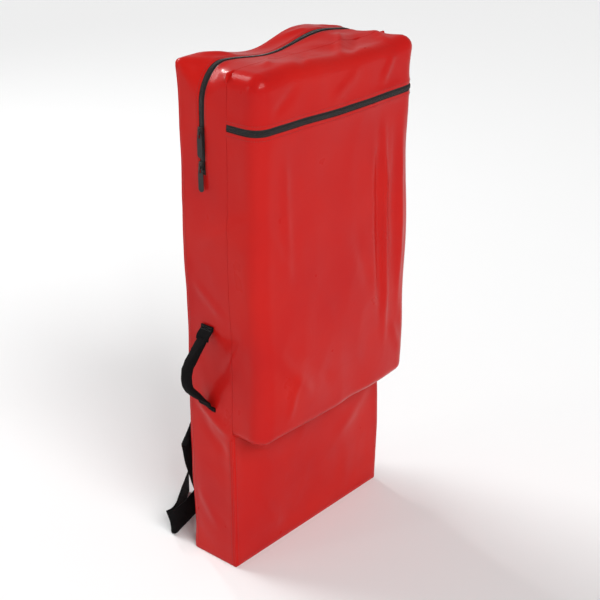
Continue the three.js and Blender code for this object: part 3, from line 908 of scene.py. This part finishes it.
# ---- main zip ----
TAPE_STEPS = (0.0003, 0.0025, 0.0050, 0.0095)  # places across half a zip's tape
TAPE_THICK = 0.0009
TAPE_SUNK = 0.0008
COIL_ASIDE = 0.0015
COIL_LIFT = 0.0010


def beside_zip(piece, fold, slot, *nodes):
    """Half of a zip, or its stitches: fixed to the case, or, where a fold is given, left in place with its
    transform baked into the mesh.
    """
    if fold is None:
        on_body(piece, "case", slot, *nodes)
    else:
        bending(piece, *fold, slot, *nodes)


def zip_band(y, run):
    point, out = girth(run, y)
    return point - out * TAPE_SUNK, out, 0.0, (run, y)


def add_main_zip():
    band = draped(zip_band, 0.0)
    runs = stations(0.0, GIRTH, 0.005, False, False)
    fore = [-y for y in reversed(TAPE_STEPS)]
    front_tape = skin("main_zip_front_band", fore, runs, band, TAPE, TAPE_THICK)
    on_body(front_tape, "case", "zip_tape", "main_zip_front_tape")
    rear_tape = skin("main_zip_rear_band", TAPE_STEPS, runs, band, TAPE, TAPE_THICK)
    bending(rear_tape, *MOUTH_FOLD, "zip_tape", "main_zip_rear_tape")
    halves = (
        ("front", -1.0, 0.004, None),
        ("rear", 1.0, 0.004 + TOOTH_PITCH / 2.0, MOUTH_FOLD),
    )
    for name, way, start, fold in halves:
        places = [(way * COIL_ASIDE, run) for run in line(start, GIRTH - start, 300)]
        path = on_surface(band, places, COIL_LIFT)
        beside_zip(beads(f"main_zip_{name}_coil", [path], TOOTH_PITCH, TOOTH, COIL), fold, "zip_tape")
        places = [(way * 0.0102, run) for run in line(0.003, GIRTH - 0.003, 220)]
        path = on_surface(hood_lie, places)
        thread = beads(f"main_zip_{name}_stitches", [path], STITCH_PITCH, STITCH, RED_THREAD)
        beside_zip(thread, fold, "red_vinyl")


# ---- pocket ----
POCKET_WALL = POCKET_REAR - POCKET_FRONT - POCKET_CORNER
POCKET_BEND = POCKET_CORNER * math.pi / 2.0
POCKET_FLAT = 2.0 * (SIDE - POCKET_CORNER)
POCKET_RUN = 2.0 * (POCKET_WALL + POCKET_BEND) + POCKET_FLAT


def pocket_plan(run, inset):
    """A point of the pocket's outline seen from above, shrunk by the inset."""
    way = -1.0
    if run > POCKET_RUN / 2.0:
        run = POCKET_RUN - run
        way = 1.0
    half = SIDE - inset
    front = POCKET_FRONT + inset
    radius = min(max(POCKET_CORNER - inset, 0.004), POCKET_REAR - front)
    if run <= POCKET_WALL:
        y = POCKET_REAR + (front + radius - POCKET_REAR) * run / POCKET_WALL
        return Vector((way * half, y, 0.0)), Vector((way, 0.0, 0.0))
    if run <= POCKET_WALL + POCKET_BEND:
        turn = (run - POCKET_WALL) / POCKET_BEND * math.pi / 2.0
        x = way * (half - radius + radius * math.cos(turn))
        y = front + radius - radius * math.sin(turn)
        return Vector((x, y, 0.0)), Vector((way * math.cos(turn), -math.sin(turn), 0.0))
    x = (half - radius) * (1.0 - (run - POCKET_WALL - POCKET_BEND) / (POCKET_FLAT / 2.0))
    return Vector((way * x, front, 0.0)), Vector((0.0, -1.0, 0.0))


QUARTER_TURN = 1.571  # in radians, for the place on the cloth


def pocket_section(height_at_zip, flat_end, rounding, up):
    """Stations down (or up) the pocket from its zip: (inset, height, turn, cloth)."""
    steps = []
    sign = 1.0 if up else -1.0
    straight = abs(flat_end - height_at_zip) - rounding
    count = max(2, round(straight / PANEL_STEP))
    for i in range(count + 1):
        gone = straight * i / count
        steps.append((0.0, height_at_zip + sign * gone, 0.0, gone))
    for i in range(1, 8):
        turn = math.pi / 2.0 * i / 7
        inset = rounding * (1.0 - math.cos(turn))
        z = flat_end - sign * rounding * (1.0 - math.sin(turn))
        steps.append((inset, z, turn, straight + rounding * turn))
    end = POCKET_REAR - POCKET_FRONT
    inward = end - rounding
    count = max(2, round(inward / 0.005))
    for i in range(1, count + 1):
        gone = inward * i / count
        laid = straight + rounding * QUARTER_TURN + gone
        steps.append((rounding + gone, flat_end, math.pi / 2.0, laid))
    return steps


def pocket_place(section, up):
    sign = 1.0 if up else -1.0

    def place(run, step):
        inset, z, turn, gone = section[step]
        point, out = pocket_plan(run, inset)
        point.z = z
        facing = out * math.cos(turn)
        facing.z = sign * math.sin(turn)
        laid = (run, z if turn == 0.0 else z + sign * gone)
        return point + facing * hem_rise(gone), facing.normalized(), gone + 0.004, laid

    return place


BODY_SECTION = pocket_section(POCKET_ZIP - ZIP_EDGE, POCKET_FOOT, POCKET_ROUND, False)
LID_SECTION = pocket_section(POCKET_ZIP + ZIP_EDGE, TOP - 0.0002, BROW, True)
pocket_lie = draped(pocket_place(BODY_SECTION, False))
lid_lie = draped(pocket_place(LID_SECTION, True))

LID_FOLD = (("case", "pocket_lid"), (0.0, POCKET_REAR, TOP), (0.0, -0.100, TOP))


def pocket_runs():
    wall = line(0.0, POCKET_WALL, 7)
    bend = line(POCKET_WALL, POCKET_WALL + POCKET_BEND, 9)
    flat = line(POCKET_WALL + POCKET_BEND, POCKET_RUN - POCKET_WALL - POCKET_BEND, 62)
    other = [POCKET_RUN - r for r in reversed(wall + bend[1:])]
    return wall + bend[1:] + flat[1:] + other[1:]


def pocket_band(way):
    """One half of the pocket zip, by run and by distance from the zip line."""

    def place(run, off):
        point, out = pocket_plan(run, 0.0)
        point.z = POCKET_ZIP + way * off
        return point - out * TAPE_SUNK, out, 0.0, (run, way * off)

    return place


def add_pocket():
    runs = pocket_runs()
    body = skin("pocket_vinyl", runs, range(len(BODY_SECTION)), pocket_lie, RED)
    on_body(
        body, "case", "red_vinyl",
        "pocket_front_panel", "pocket_side_left", "pocket_side_right", "pocket_bottom",
    )
    lid = skin("pocket_lid_vinyl", runs, range(len(LID_SECTION)), lid_lie, RED)
    bending(lid, *LID_FOLD, "red_vinyl", "pocket_lid")
    inner = line(0.001, POCKET_RUN - 0.001, 260)
    halves = (("lower", -1.0, pocket_lie, None), ("upper", 1.0, lid_lie, LID_FOLD))
    for name, way, section_lie, fold in halves:
        band = draped(pocket_band(way), 0.0)
        tape = skin(f"pocket_zip_{name}_band", runs, TAPE_STEPS, band, TAPE, TAPE_THICK)
        shift = 0.0 if way < 0 else TOOTH_PITCH / 2.0
        path = on_surface(band, [(run + shift, COIL_ASIDE) for run in inner], COIL_LIFT)
        coil = beads(f"pocket_zip_{name}_coil", [path], TOOTH_PITCH, TOOTH, COIL)
        path = on_surface(section_lie, [(run, 1) for run in inner])
        thread = beads(f"pocket_zip_{name}_stitches", [path], STITCH_PITCH, STITCH, RED_THREAD)
        beside_zip(tape, fold, "zip_tape", f"pocket_zip_{name}_tape")
        beside_zip(coil, fold, "zip_tape")
        beside_zip(thread, fold, "red_vinyl")


# ---- webbing ----
def smooth_route(points, spacing=0.004):
    """Places at an even spacing on a smooth line through the points, by centripetal splines,
    each with how many knots have gone by."""
    knots = [Vector(p) for p in points]
    knots = [knots[0] * 2.0 - knots[1]] + knots + [knots[-1] * 2.0 - knots[-2]]
    fine = []
    for i in range(1, len(knots) - 2):
        p0, p1, p2, p3 = knots[i - 1 : i + 3]
        t0 = 0.0
        t1 = t0 + (p1 - p0).length ** 0.5
        t2 = t1 + (p2 - p1).length ** 0.5
        t3 = t2 + (p3 - p2).length ** 0.5
        for k in range(24):
            t = t1 + (t2 - t1) * k / 24
            a1 = p0 * ((t1 - t) / (t1 - t0)) + p1 * ((t - t0) / (t1 - t0))
            a2 = p1 * ((t2 - t) / (t2 - t1)) + p2 * ((t - t1) / (t2 - t1))
            a3 = p2 * ((t3 - t) / (t3 - t2)) + p3 * ((t - t2) / (t3 - t2))
            b1 = a1 * ((t2 - t) / (t2 - t0)) + a2 * ((t - t0) / (t2 - t0))
            b2 = a2 * ((t3 - t) / (t3 - t1)) + a3 * ((t - t1) / (t3 - t1))
            place = b1 * ((t2 - t) / (t2 - t1)) + b2 * ((t - t1) / (t2 - t1))
            fine.append((place, i - 1 + k / 24))
    fine.append((knots[-2], len(knots) - 3.0))
    return even_line(fine, spacing)


def even_line(fine, spacing):
    total = sum((b[0] - a[0]).length for a, b in zip(fine, fine[1:]))
    count = max(4, round(total / spacing))
    out = [fine[0]]
    want = total / count
    gone = 0.0
    for (a, ka), (b, kb) in zip(fine, fine[1:]):
        length = (b - a).length
        while gone + length >= want * len(out) and len(out) < count:
            share = (want * len(out) - gone) / length
            out.append((a.lerp(b, share), ka + (kb - ka) * share))
        gone += length
    out.append(fine[-1])
    return out


def section_of(width, thickness):
    """Cross-section of webbing: flat faces and round selvedges, as (aside, out) pairs."""
    half = width / 2.0
    thick = thickness / 2.0
    r = thick
    flats = [half - r, half * 0.66, half * 0.33, 0.0, -half * 0.33, -half * 0.66, -half + r]
    top = [(x, thick) for x in flats]
    bottom = [(x, -thick) for x in reversed(flats)]
    left = [(-half + r - r * 0.71, thick * 0.71), (-half, 0.0), (-half + r - r * 0.71, -thick * 0.71)]
    right = [(half - r + r * 0.71, -thick * 0.71), (half, 0.0), (half - r + r * 0.71, thick * 0.71)]
    return top + left + bottom + right


UP_BACK = ((0.0, 1.0, 0.0),)


def strap_frames(points, width, facings=UP_BACK, sway=0.0008, seed=1.0, spacing=0.004):
    """The centre, sideways reach and outward direction at each place of a strap. There is one
    facing for the whole strap, or one for each point of its route."""
    route = smooth_route(points, spacing)
    count = len(route)
    frames = []
    for i, (centre, knot) in enumerate(route):
        ahead = (route[min(i + 1, count - 1)][0] - route[max(i - 1, 0)][0]).normalized()
        k = min(int(knot), len(facings) - 1)
        facing = Vector(facings[k])
        if k + 1 < len(facings):
            facing = facing.lerp(Vector(facings[k + 1]), knot - k)
        aside = ahead.cross(facing).normalized()
        out = aside.cross(ahead).normalized()
        ends = smooth(min(i, count - 1 - i) / 5.0)
        wave = noise.noise(Vector((i * 0.09, seed, 0.0))) * sway * ends
        frames.append((centre + out * wave, aside * width / 2.0, out))
    return frames


CREASE_ROUND = 0.0021


def folded(first, second, layer):
    """Two legs of one strap joined by a crease: the first ends where the second starts, and
    the second lies on the side that layer points to, with its back outwards."""
    ahead = (first[-1][0] - first[-2][0]).normalized()
    away = (second[1][0] - second[0][0]).normalized()
    half = first[-1][1].length
    side = first[-1][1].normalized()
    crease = (ahead + away).normalized()
    crease = crease / crease.dot(side)
    outside = (ahead - away).normalized()
    out = first[-1][2]
    layer = Vector(layer)
    way = -math.copysign(1.0, layer.dot(out))
    joined = slanted(first, first[-1][0], ahead, crease.dot(ahead), half)
    for i in range(1, 8):
        turn = math.pi * i / 8
        centre = first[-1][0] + layer * CREASE_ROUND * (1.0 - math.cos(turn))
        centre = centre + outside * CREASE_ROUND * math.sin(turn)
        facing = out * math.cos(turn) + outside * (way * math.sin(turn))
        joined.append((centre, crease * half, facing))
    return joined + slanted(second, second[0][0], away, crease.dot(away), half)


def slanted(frames, end, ahead, slope, half):
    """The frames of a leg, its cross-sections leaning into the crease near the fold."""
    reach = 1.3 * half * abs(slope) + 0.002
    leaning = []
    for centre, side, out in frames:
        share = max(0.0, 1.0 - (centre - end).length / reach)
        leaning.append((centre, side + ahead * (slope * half * share), out))
    return leaning


def ring_faces(rings, size):
    """Faces that join rings of points one after another, closed at both ends."""
    faces = []
    for i in range(rings - 1):
        for k in range(size):
            a = i * size + k
            b = i * size + (k + 1) % size
            faces.append((a, b, b + size, a + size))
    faces.append(tuple(reversed(range(size))))
    last = (rings - 1) * size
    faces.append(tuple(last + k for k in range(size)))
    return faces


def strap_piece(name, frames, thickness, seed=1.0, cup=0.0, settled=False):
    """A strap of woven webbing through the frames, closed at both cut ends."""
    half = frames[0][1].length
    section = section_of(half * 2.0, thickness)
    size = len(section)
    verts = []
    cloth = []
    gone = 0.0
    for i, (centre, side, out) in enumerate(frames):
        if i:
            gone += (centre - frames[i - 1][0]).length
        lean = noise.noise(Vector((i * 0.05, seed + 9.0, 0.0))) * 0.03
        for x, rise in section:
            bow = cup * (1.0 - (x / half) ** 2)
            place = centre + side * (x / half) + out * (rise + bow + x * lean)
            verts.append(slack(place) if settled else place)
            cloth.append((x, gone))
    piece = new_piece(name, verts, ring_faces(len(frames), size), STRAP, cloth)
    face_outwards(piece)
    return piece


def face_outwards(piece):
    mesh = bmesh.new()
    mesh.from_mesh(piece.data)
    bmesh.ops.recalc_face_normals(mesh, faces=mesh.faces)
    mesh.to_mesh(piece.data)
    mesh.free()


def ribbon(name, points, width, thickness, facings=UP_BACK, sway=0.0008, seed=1.0, cup=0.0):
    frames = strap_frames(points, width, facings, sway, seed)
    return strap_piece(name, frames, thickness, seed, cup), frames


def cross_box(frames, first, last, half, lift, crossed=True, settled=False):
    """A sewn box, with a cross in it, over a length of strap, as stitch paths."""

    def at(i, x):
        centre, side, out = frames[i]
        place = centre + side.normalized() * x + out * lift
        return slack(place) if settled else place, out

    edges = [at(i, -half) for i in range(first, last + 1)]
    edges += [at(last, x) for x in line(-half, half, 6)]
    edges += [at(i, half) for i in range(last, first - 1, -1)]
    edges += [at(first, x) for x in line(half, -half, 6)]
    if not crossed:
        return [edges]
    run = last - first
    cross = [at(first + i, -half + 2.0 * half * i / run) for i in range(run + 1)]
    other = [at(first + i, half - 2.0 * half * i / run) for i in range(run + 1)]
    return [edges, cross, other]


BACK_FACE = BACK + 0.0003
THREAD_LIFT = WEBBING / 2.0 + 0.0002  # stitches on the face of the wide webbing
BELT_BOX = 0.018  # half the width of a sewn box on the belt
END_BOX = 0.019  # half the width of a sewn box at the end of a strap
STRAP_LIE = BACK_FACE + WEBBING / 2.0
STRAP_END = 0.262
SHOULDERS = (("left", -0.035, 0.008), ("right", 0.091, 0.034))


def add_shoulder(name, x, drift, seed):
    lie = STRAP_LIE + 0.0015
    route = [
        (x, lie, 0.736),
        (x, lie, 0.714),
        (x, lie + 0.003, 0.620),
        (x + drift * 0.1, lie + 0.010, 0.500),
        (x + drift * 0.5, lie + 0.018, 0.390),
        (x + drift * 0.9, lie + 0.018, 0.310),
        (x + drift, lie + 0.015, STRAP_END),
    ]
    strap, _ = ribbon(f"shoulder_webbing_{name}", route, WIDE, WEBBING, sway=0.0016, seed=seed, cup=-0.0012)
    start = (x, lie, 0.722)
    end = (x, lie, 0.690)
    bending(strap, ("case", "harness"), start, end, "black_webbing", f"shoulder_strap_{name}")


def add_lock_straps(name, x, drift, seed):
    lock_x = x + drift
    y = STRAP_LIE + 0.016
    loop = [
        (lock_x, y - 0.0045, 0.300),
        (lock_x, y - 0.0050, 0.2590),
        (lock_x, y - 0.0005, 0.2495),
        (lock_x, y + 0.0050, 0.2590),
        (lock_x, y + 0.0040, 0.2960),
    ]
    turned = [(0, -1, 0), (0, -1, 0), (0, 0, -1), (0, 1, 0), (0, 1, 0)]
    piece, frames = ribbon(f"lock_loop_{name}", loop, NARROW, THIN_WEBBING, turned, 0.0, seed)
    on_body(piece, "harness", "black_webbing")
    sewn = cross_box(frames, len(frames) - 7, len(frames) - 2, 0.009, 0.0011)
    black_stitches(f"lock_loop_stitches_{name}", sewn, "harness", 0.0036, STITCH)
    tail = [
        (lock_x, y - 0.0030, 0.172),
        (lock_x, y - 0.0022, 0.205),
        (lock_x, y - 0.0010, 0.2250),
        (lock_x, y + 0.0030, 0.2320),
        (lock_x, y + 0.0052, 0.2400),
        (lock_x, y + 0.0030, 0.2470),
    ]
    piece, _ = ribbon(f"lock_strap_{name}", tail, NARROW, THIN_WEBBING, UP_BACK, 0.0, seed + 3.0)
    on_body(piece, f"ladder_lock_{name}", "black_webbing")


def add_lower_strap(name, x, drift, seed):
    foot = x + drift * 0.4
    body = f"lower_strap_{name}"
    route = [
        (x + drift, STRAP_LIE + 0.015, 0.214),
        (x + drift * 0.8, STRAP_LIE + 0.013, 0.170),
        (foot, STRAP_LIE + 0.009, 0.100),
        (foot, STRAP_LIE + 0.005, 0.040),
        (foot, STRAP_LIE + 0.0025, 0.020),
        (foot, STRAP_LIE + 0.0018, 0.006),
    ]
    frames = []
    for i, (centre, side, out) in enumerate(strap_frames(route, NARROW, sway=0.004, seed=seed)):
        wander = Vector((noise.noise(Vector((i * 0.11, seed, 4.0))) * 0.004, 0.0, 0.0))
        frames.append((centre + wander, side, out))
    piece = strap_piece(f"lower_webbing_{name}", frames, THIN_WEBBING, seed)
    start = (foot, STRAP_LIE, 0.024)
    end = (foot, STRAP_LIE, 0.050)
    bending(piece, ("case", body), start, end, "black_webbing", body)
    over = [
        (foot, BACK_FACE + 0.0058, 0.025),
        (foot, BACK_FACE + 0.0060, 0.016),
        (foot, BACK_FACE + 0.0054, 0.003),
    ]
    cover, frames = ribbon(f"lower_anchor_cover_{name}", over, 0.031, 0.0018, sway=0.0, seed=seed)
    on_body(cover, "case", "black_webbing", f"lower_anchor_{name}")
    sewn = cross_box(frames, 1, len(frames) - 2, 0.011, 0.0011, False)
    black_stitches(f"lower_anchor_stitches_{name}", sewn, "case", size=STITCH)


def add_anchor_strips():
    z = 0.742
    layers = (
        ("right", 0.126, 0.022, BACK_FACE + WEBBING / 2.0 + 0.0018, z, 2.2),
        ("left", 0.036, -0.104, BACK_FACE + WEBBING * 1.5 + 0.0026, z + 0.004, 6.1),
    )
    for name, x0, x1, y, height, seed in layers:
        route = [(x0, y, height), ((x0 + x1) / 2.0, y + 0.0008, height + 0.001), (x1, y, height - 0.001)]
        frames = strap_frames(route, WIDE, sway=0.0006, seed=seed)
        strip = strap_piece(f"anchor_webbing_{name}", frames, WEBBING, seed, settled=True)
        on_body(strip, "case", "black_webbing", f"anchor_strip_{name}")
        count = len(frames) - 1
        sewn = cross_box(frames, 1, 9, END_BOX, THREAD_LIFT, settled=True)
        sewn += cross_box(frames, count - 9, count - 1, END_BOX, THREAD_LIFT, settled=True)
        black_stitches(f"anchor_stitches_{name}", sewn, "case")


BELT_MIDDLE = (0.030, 0.0858, 0.2895)
BELT_HALF_WAY = (0.010, 0.0856, 0.2880)
LEFT_TURN = (-0.2005, 0.0695, 0.254)
RIGHT_TURN = (0.2475, 0.0820, 0.284)
LOW_TURN = (-0.1340, 0.1000, 0.070)
OUTWARDS = (0.0, 1.0, 0.0)
INWARDS = ((0.0, -1.0, 0.0),)


def over_crease(turn):
    return (turn[0], turn[1] + 2.0 * CREASE_ROUND, turn[2])


def sew_to_shoulder(name, frames, x):
    """The box that joins the belt to the shoulder strap that it crosses at x."""
    near = min(range(len(frames)), key=lambda i: abs(frames[i][0].x - x))
    sewn = cross_box(frames, near - 5, near + 5, BELT_BOX, THREAD_LIFT)
    black_stitches(f"belt_stitches_{name}", sewn, "harness")


def add_belt_left():
    """The left half of the waist belt: across the back, folded down at the corner, folded
    back through the buckle, and its tail on edge on the ground."""
    across = [
        BELT_MIDDLE, BELT_HALF_WAY, (-0.035, 0.0850, 0.285), (-0.120, 0.0790, 0.275),
        (-0.165, 0.0735, 0.2633), LEFT_TURN,
    ]
    down = [
        over_crease(LEFT_TURN), (-0.1935, 0.0770, 0.222), (-0.183, 0.0825, 0.182),
        (-0.162, 0.0910, 0.130), (-0.146, 0.0965, 0.095), LOW_TURN,
    ]
    back = [
        over_crease(LOW_TURN), (-0.158, 0.1060, 0.058), (-0.182, 0.1085, 0.0440), (-0.205, 0.1130, 0.0345),
        (-0.2165, 0.1195, 0.0290), (-0.2110, 0.1260, 0.0266), (-0.190, 0.1345, 0.0258),
        (-0.140, 0.167, 0.0256), (-0.084, 0.205, 0.0256),
    ]
    turning = [
        OUTWARDS, OUTWARDS, OUTWARDS, (0.3, 0.95, 0.0), (1.0, 0.1, 0.0), (0.85, -0.5, 0.0),
        (0.5, -0.85, 0.0), (0.6, -0.8, 0.0), (0.6, -0.8, 0.0),
    ]
    first = strap_frames(across, WIDE, sway=0.0012, seed=21.0)
    second = strap_frames(down, WIDE, INWARDS, 0.0012, 41.0)
    third = strap_frames(back, WIDE, turning, 0.0010, 43.0, 0.003)
    frames = folded(folded(first, second, OUTWARDS), third, OUTWARDS)
    belt = strap_piece("waist_webbing_left", frames, WEBBING, 21.0)
    start = (0.0, 0.08, 0.222)
    end = (0.0, 0.08, 0.180)
    nodes = ("belt_centre", "belt_left_end", "belt_return", "belt_tail")
    bending(belt, ("harness", "belt_left_end"), start, end, "black_webbing", *nodes)
    sew_to_shoulder("left", first, -0.028)
    hem = cross_box(third, len(third) - 8, len(third) - 2, END_BOX, THREAD_LIFT, False)
    hem += cross_box(third, len(third) - 8, len(third) - 2, END_BOX, -THREAD_LIFT, False)
    black_stitches("belt_tail_stitches", hem, "belt_left_end")


def add_belt_right():
    """The right half: across the back, folded down past the edge, to the socket half."""
    across = [
        BELT_HALF_WAY, BELT_MIDDLE, (0.091, 0.0860, 0.2945), (0.160, 0.0845, 0.2985),
        (0.205, 0.0830, 0.2940), RIGHT_TURN,
    ]
    hanging = [
        over_crease(RIGHT_TURN), (0.2385, 0.0864, 0.248), (0.2285, 0.0864, 0.210), (0.213, 0.0864, 0.175),
        (0.205, 0.087, 0.135), (0.203, 0.088, 0.070), (0.203, 0.088, 0.050),
    ]
    whole = strap_frames(across, WIDE, sway=0.0012, seed=21.0)
    first = [f for f in whole if f[0].x >= BELT_MIDDLE[0] - 0.002]
    second = strap_frames(hanging, WIDE, INWARDS, 0.0012, 31.0)
    frames = folded(first, second, OUTWARDS)
    belt = strap_piece("waist_webbing_right", frames, WEBBING, 33.0)
    start = (0.0, 0.08, 0.250)
    end = (0.0, 0.08, 0.208)
    bending(belt, ("harness", "belt_right_end"), start, end, "black_webbing", "belt_centre", "belt_right_end")
    sew_to_shoulder("right", first, 0.118)
    count = len(second)
    sewn = cross_box(second, count - 17, count - 9, BELT_BOX, -THREAD_LIFT)
    black_stitches("belt_socket_stitches", sewn, "belt_right_end")


# ---- carry handle ----
HANDLE_TOP = 0.474
HANDLE_FOOT = 0.346
HANDLE_STEP = 0.003


def add_handle():
    """Webbing folded round a core: its two sewn ends, and the loop that swings."""
    loop = [
        (-0.229, 0, HANDLE_TOP), (-0.250, 0, 0.452), (-0.2705, 0, 0.426),
        (-0.2705, 0, 0.394), (-0.250, 0, 0.368), (-0.229, 0, HANDLE_FOOT),
    ]
    route = [place for place, _ in smooth_route(loop, HANDLE_STEP)]
    count = len(route) - 1
    sides = 16
    points = []
    cloth = []
    for i, centre in enumerate(route):
        ahead = (route[min(i + 1, count)] - route[max(i - 1, 0)]).normalized()
        aside = Vector((0.0, 1.0, 0.0))
        out = aside.cross(ahead)
        share = i / count
        middle = smooth(min(share, 1.0 - share) * 4.0)
        half_width = 0.0122 - 0.0007 * middle
        half_thick = 0.0026 + 0.0040 * middle
        lump = 1.0 + 0.07 * noise.noise(Vector((i * 0.35, 2.0, 7.0)))
        for k in range(sides):
            turn = math.tau * k / sides
            across = math.copysign(abs(math.cos(turn)) ** 0.7, math.cos(turn)) * half_width * lump
            depth = math.copysign(abs(math.sin(turn)) ** 0.8, math.sin(turn)) * half_thick * lump
            points.append(centre + aside * across + out * depth)
            cloth.append((math.sin(turn) * half_width, i * HANDLE_STEP))
    handle = new_piece("handle_grip", points, ring_faces(count + 1, sides), STRAP, cloth)
    face_outwards(handle)
    on_body(handle, "side_handle", "black_webbing", "side_handle")
    for name, z, way in (("top", HANDLE_TOP, 1.0), ("bottom", HANDLE_FOOT, -1.0)):
        route = [
            (-0.2310, 0, z - way * 0.003),
            (-0.2292, 0, z + way * 0.004),
            (-0.2230, 0, z + way * 0.010),
            (-0.2180, 0, z + way * 0.014),
            (-0.2172, 0, z + way * 0.021),
        ]
        if way < 0:
            route.reverse()
        frames = strap_frames(route, 0.030, ((-1, 0, 0),), 0.0, 5.0, 0.002)
        tab = strap_piece(f"handle_end_{name}", frames, 0.0032, 5.0)
        on_body(tab, "case", "black_webbing", f"handle_tab_{name}")
        span = (len(frames) - 6, len(frames) - 2) if way > 0 else (1, 5)
        sewn = cross_box(frames, span[0], span[1], 0.011, 0.0018)
        black_stitches(f"handle_stitches_{name}", sewn, "case", 0.0035, STITCH)


# ---- hard parts ----
def softened(node, material, slot, rounding, segments=2):
    """A hard part with its sharp edges rounded off."""
    mesh = frame["nodes"][node].data.copy()
    mesh.materials.clear()
    mesh.materials.append(material)
    edit = bmesh.new()
    edit.from_mesh(mesh)
    bmesh.ops.remove_doubles(edit, verts=edit.verts, dist=0.00001)
    bmesh.ops.dissolve_limit(edit, angle_limit=math.radians(2.0), verts=edit.verts, edges=edit.edges)
    edit.to_mesh(mesh)
    edit.free()
    mesh.shade_smooth()
    mesh.set_sharp_from_angle(angle=math.radians(50.0))
    piece = placed(f"{node}_finished", mesh)
    bevel = piece.modifiers.new("rounding", "BEVEL")
    bevel.width = rounding
    bevel.segments = segments
    bevel.limit_method = "ANGLE"
    bevel.angle_limit = math.radians(35.0)
    bevel.harden_normals = False
    bevel.use_clamp_overlap = True
    return on_body(piece, BODY_OF[node], slot, node)


def add_hard_parts():
    for name in ("left", "right"):
        softened(f"ladder_lock_{name}", PLASTIC, "black_plastic", 0.0011)
    softened("buckle_socket", PLASTIC, "black_plastic", 0.0014)
    softened("buckle_prongs", PLASTIC, "black_plastic", 0.0009)
    for name in ("main_upper", "main_lower", "pocket"):
        softened(f"{name}_slider", METAL, "zip_metal", 0.0006)
        softened(f"{name}_pull", PULL, "pull_tab", 0.0005)
    for name in ("head", "foot"):
        softened(f"board_{name}_half", BOARD, "board_plastic", 0.0060, 3)
    for name in ("left", "right"):
        softened(f"hinge_leaf_head_{name}", STEEL, "steel", 0.0005, 1)
        softened(f"hinge_leaf_foot_{name}", STEEL, "steel", 0.0005, 1)
        softened(f"hinge_pin_{name}", STEEL, "steel", 0.0005, 1)


# ---- room, light and camera ----
def add_stage():
    mesh = bpy.data.meshes.new("floor")
    reach = 14.0
    mesh.from_pydata([(-reach, -reach, 0), (reach, -reach, 0), (reach, reach, 0), (-reach, reach, 0)],
                     [], [(0, 1, 2, 3)])
    floor = placed("floor", mesh)
    mesh.materials.append(shader("pale_floor", (0.90, 0.90, 0.90), 0.9)[0])
    add_sky()
    bpy.context.scene.view_settings.view_transform = "Standard"


def add_sky():
    """Light from pale walls that dims towards the ceiling, and a brighter backdrop that only the
    camera sees."""
    world = bpy.data.worlds.new("pale_room")
    bpy.context.scene.world = world
    world.use_nodes = True
    tree = world.node_tree
    room = tree.nodes["Background"]
    room.inputs["Color"].default_value = (1.0, 1.0, 1.0, 1.0)
    parts = tree.nodes.new("ShaderNodeSeparateXYZ")
    tree.links.new(tree.nodes.new("ShaderNodeTexCoord").outputs["Generated"], parts.inputs["Vector"])
    ceiling = tree.nodes.new("ShaderNodeMapRange")
    ceiling.interpolation_type = "SMOOTHSTEP"
    ceiling.inputs["From Min"].default_value = 0.12
    ceiling.inputs["From Max"].default_value = 0.55
    ceiling.inputs["To Min"].default_value = 0.42
    ceiling.inputs["To Max"].default_value = 0.26
    tree.links.new(parts.outputs["Z"], ceiling.inputs["Value"])
    tree.links.new(ceiling.outputs["Result"], room.inputs["Strength"])
    backdrop = tree.nodes.new("ShaderNodeBackground")
    backdrop.inputs["Color"].default_value = (0.90, 0.90, 0.90, 1.0)
    choice = tree.nodes.new("ShaderNodeMixShader")
    seen = tree.nodes.new("ShaderNodeLightPath")
    tree.links.new(seen.outputs["Is Camera Ray"], choice.inputs["Fac"])
    tree.links.new(room.outputs["Background"], choice.inputs[1])
    tree.links.new(backdrop.outputs["Background"], choice.inputs[2])
    tree.links.new(choice.outputs["Shader"], tree.nodes["World Output"].inputs["Surface"])


def hang(name, light, towards, place=(0.0, 0.0, 0.0)):
    lamp = placed(name, light)
    lamp.location = place
    lamp.rotation_mode = "QUATERNION"
    lamp.rotation_quaternion = towards.to_track_quat("-Z", "Y")


def sun(name, towards, strength, softness):
    light = bpy.data.lights.new(name, "SUN")
    light.energy = strength
    light.angle = math.radians(softness)
    hang(name, light, Vector(towards))


def softbox(name, place, aim, size, power):
    light = bpy.data.lights.new(name, "AREA")
    light.shape = "RECTANGLE"
    light.size, light.size_y = size
    light.energy = power
    hang(name, light, Vector(aim) - Vector(place), place)


def add_lights():
    middle = (0.0, 0.0, 0.5)
    sun("front_sun", (0.30, 1.0, -0.85), 1.70, 30.0)
    sun("back_sun", (0.15, -1.0, -0.80), 1.65, 30.0)
    softbox("front_softbox", (-2.1, -2.5, 2.6), middle, (0.26, 0.6), 20.0)
    softbox("back_softbox", (0.9, 2.9, 2.4), middle, (0.26, 0.6), 20.0)
    softbox("side_strip", (-2.8, 1.2, 1.7), middle, (0.12, 1.2), 5.0)


def add_camera():
    camera = bpy.data.cameras.new("camera")
    camera.lens = 77.5
    camera.sensor_width = 36.0
    eye = placed("camera", camera)
    eye.location = (-1.68, -1.48, 1.47)
    eye.rotation_mode = "QUATERNION"
    aim = Vector((0.0, -0.03, 0.48)) - eye.location
    eye.rotation_quaternion = aim.to_track_quat("-Z", "Y")
    bpy.context.scene.camera = eye


add_compartment()
add_base()
add_seams()
add_main_zip()
add_pocket()
for place, (side, at, drift) in enumerate(SHOULDERS):
    add_shoulder(side, at, drift, 11.0 + place)
    add_lock_straps(side, at, drift, 13.0 + place)
    add_lower_strap(side, at, drift, 17.0 + place * 2.0)
add_anchor_strips()
add_belt_left()
add_belt_right()
add_handle()
add_hard_parts()
add_stage()
add_lights()
add_camera()
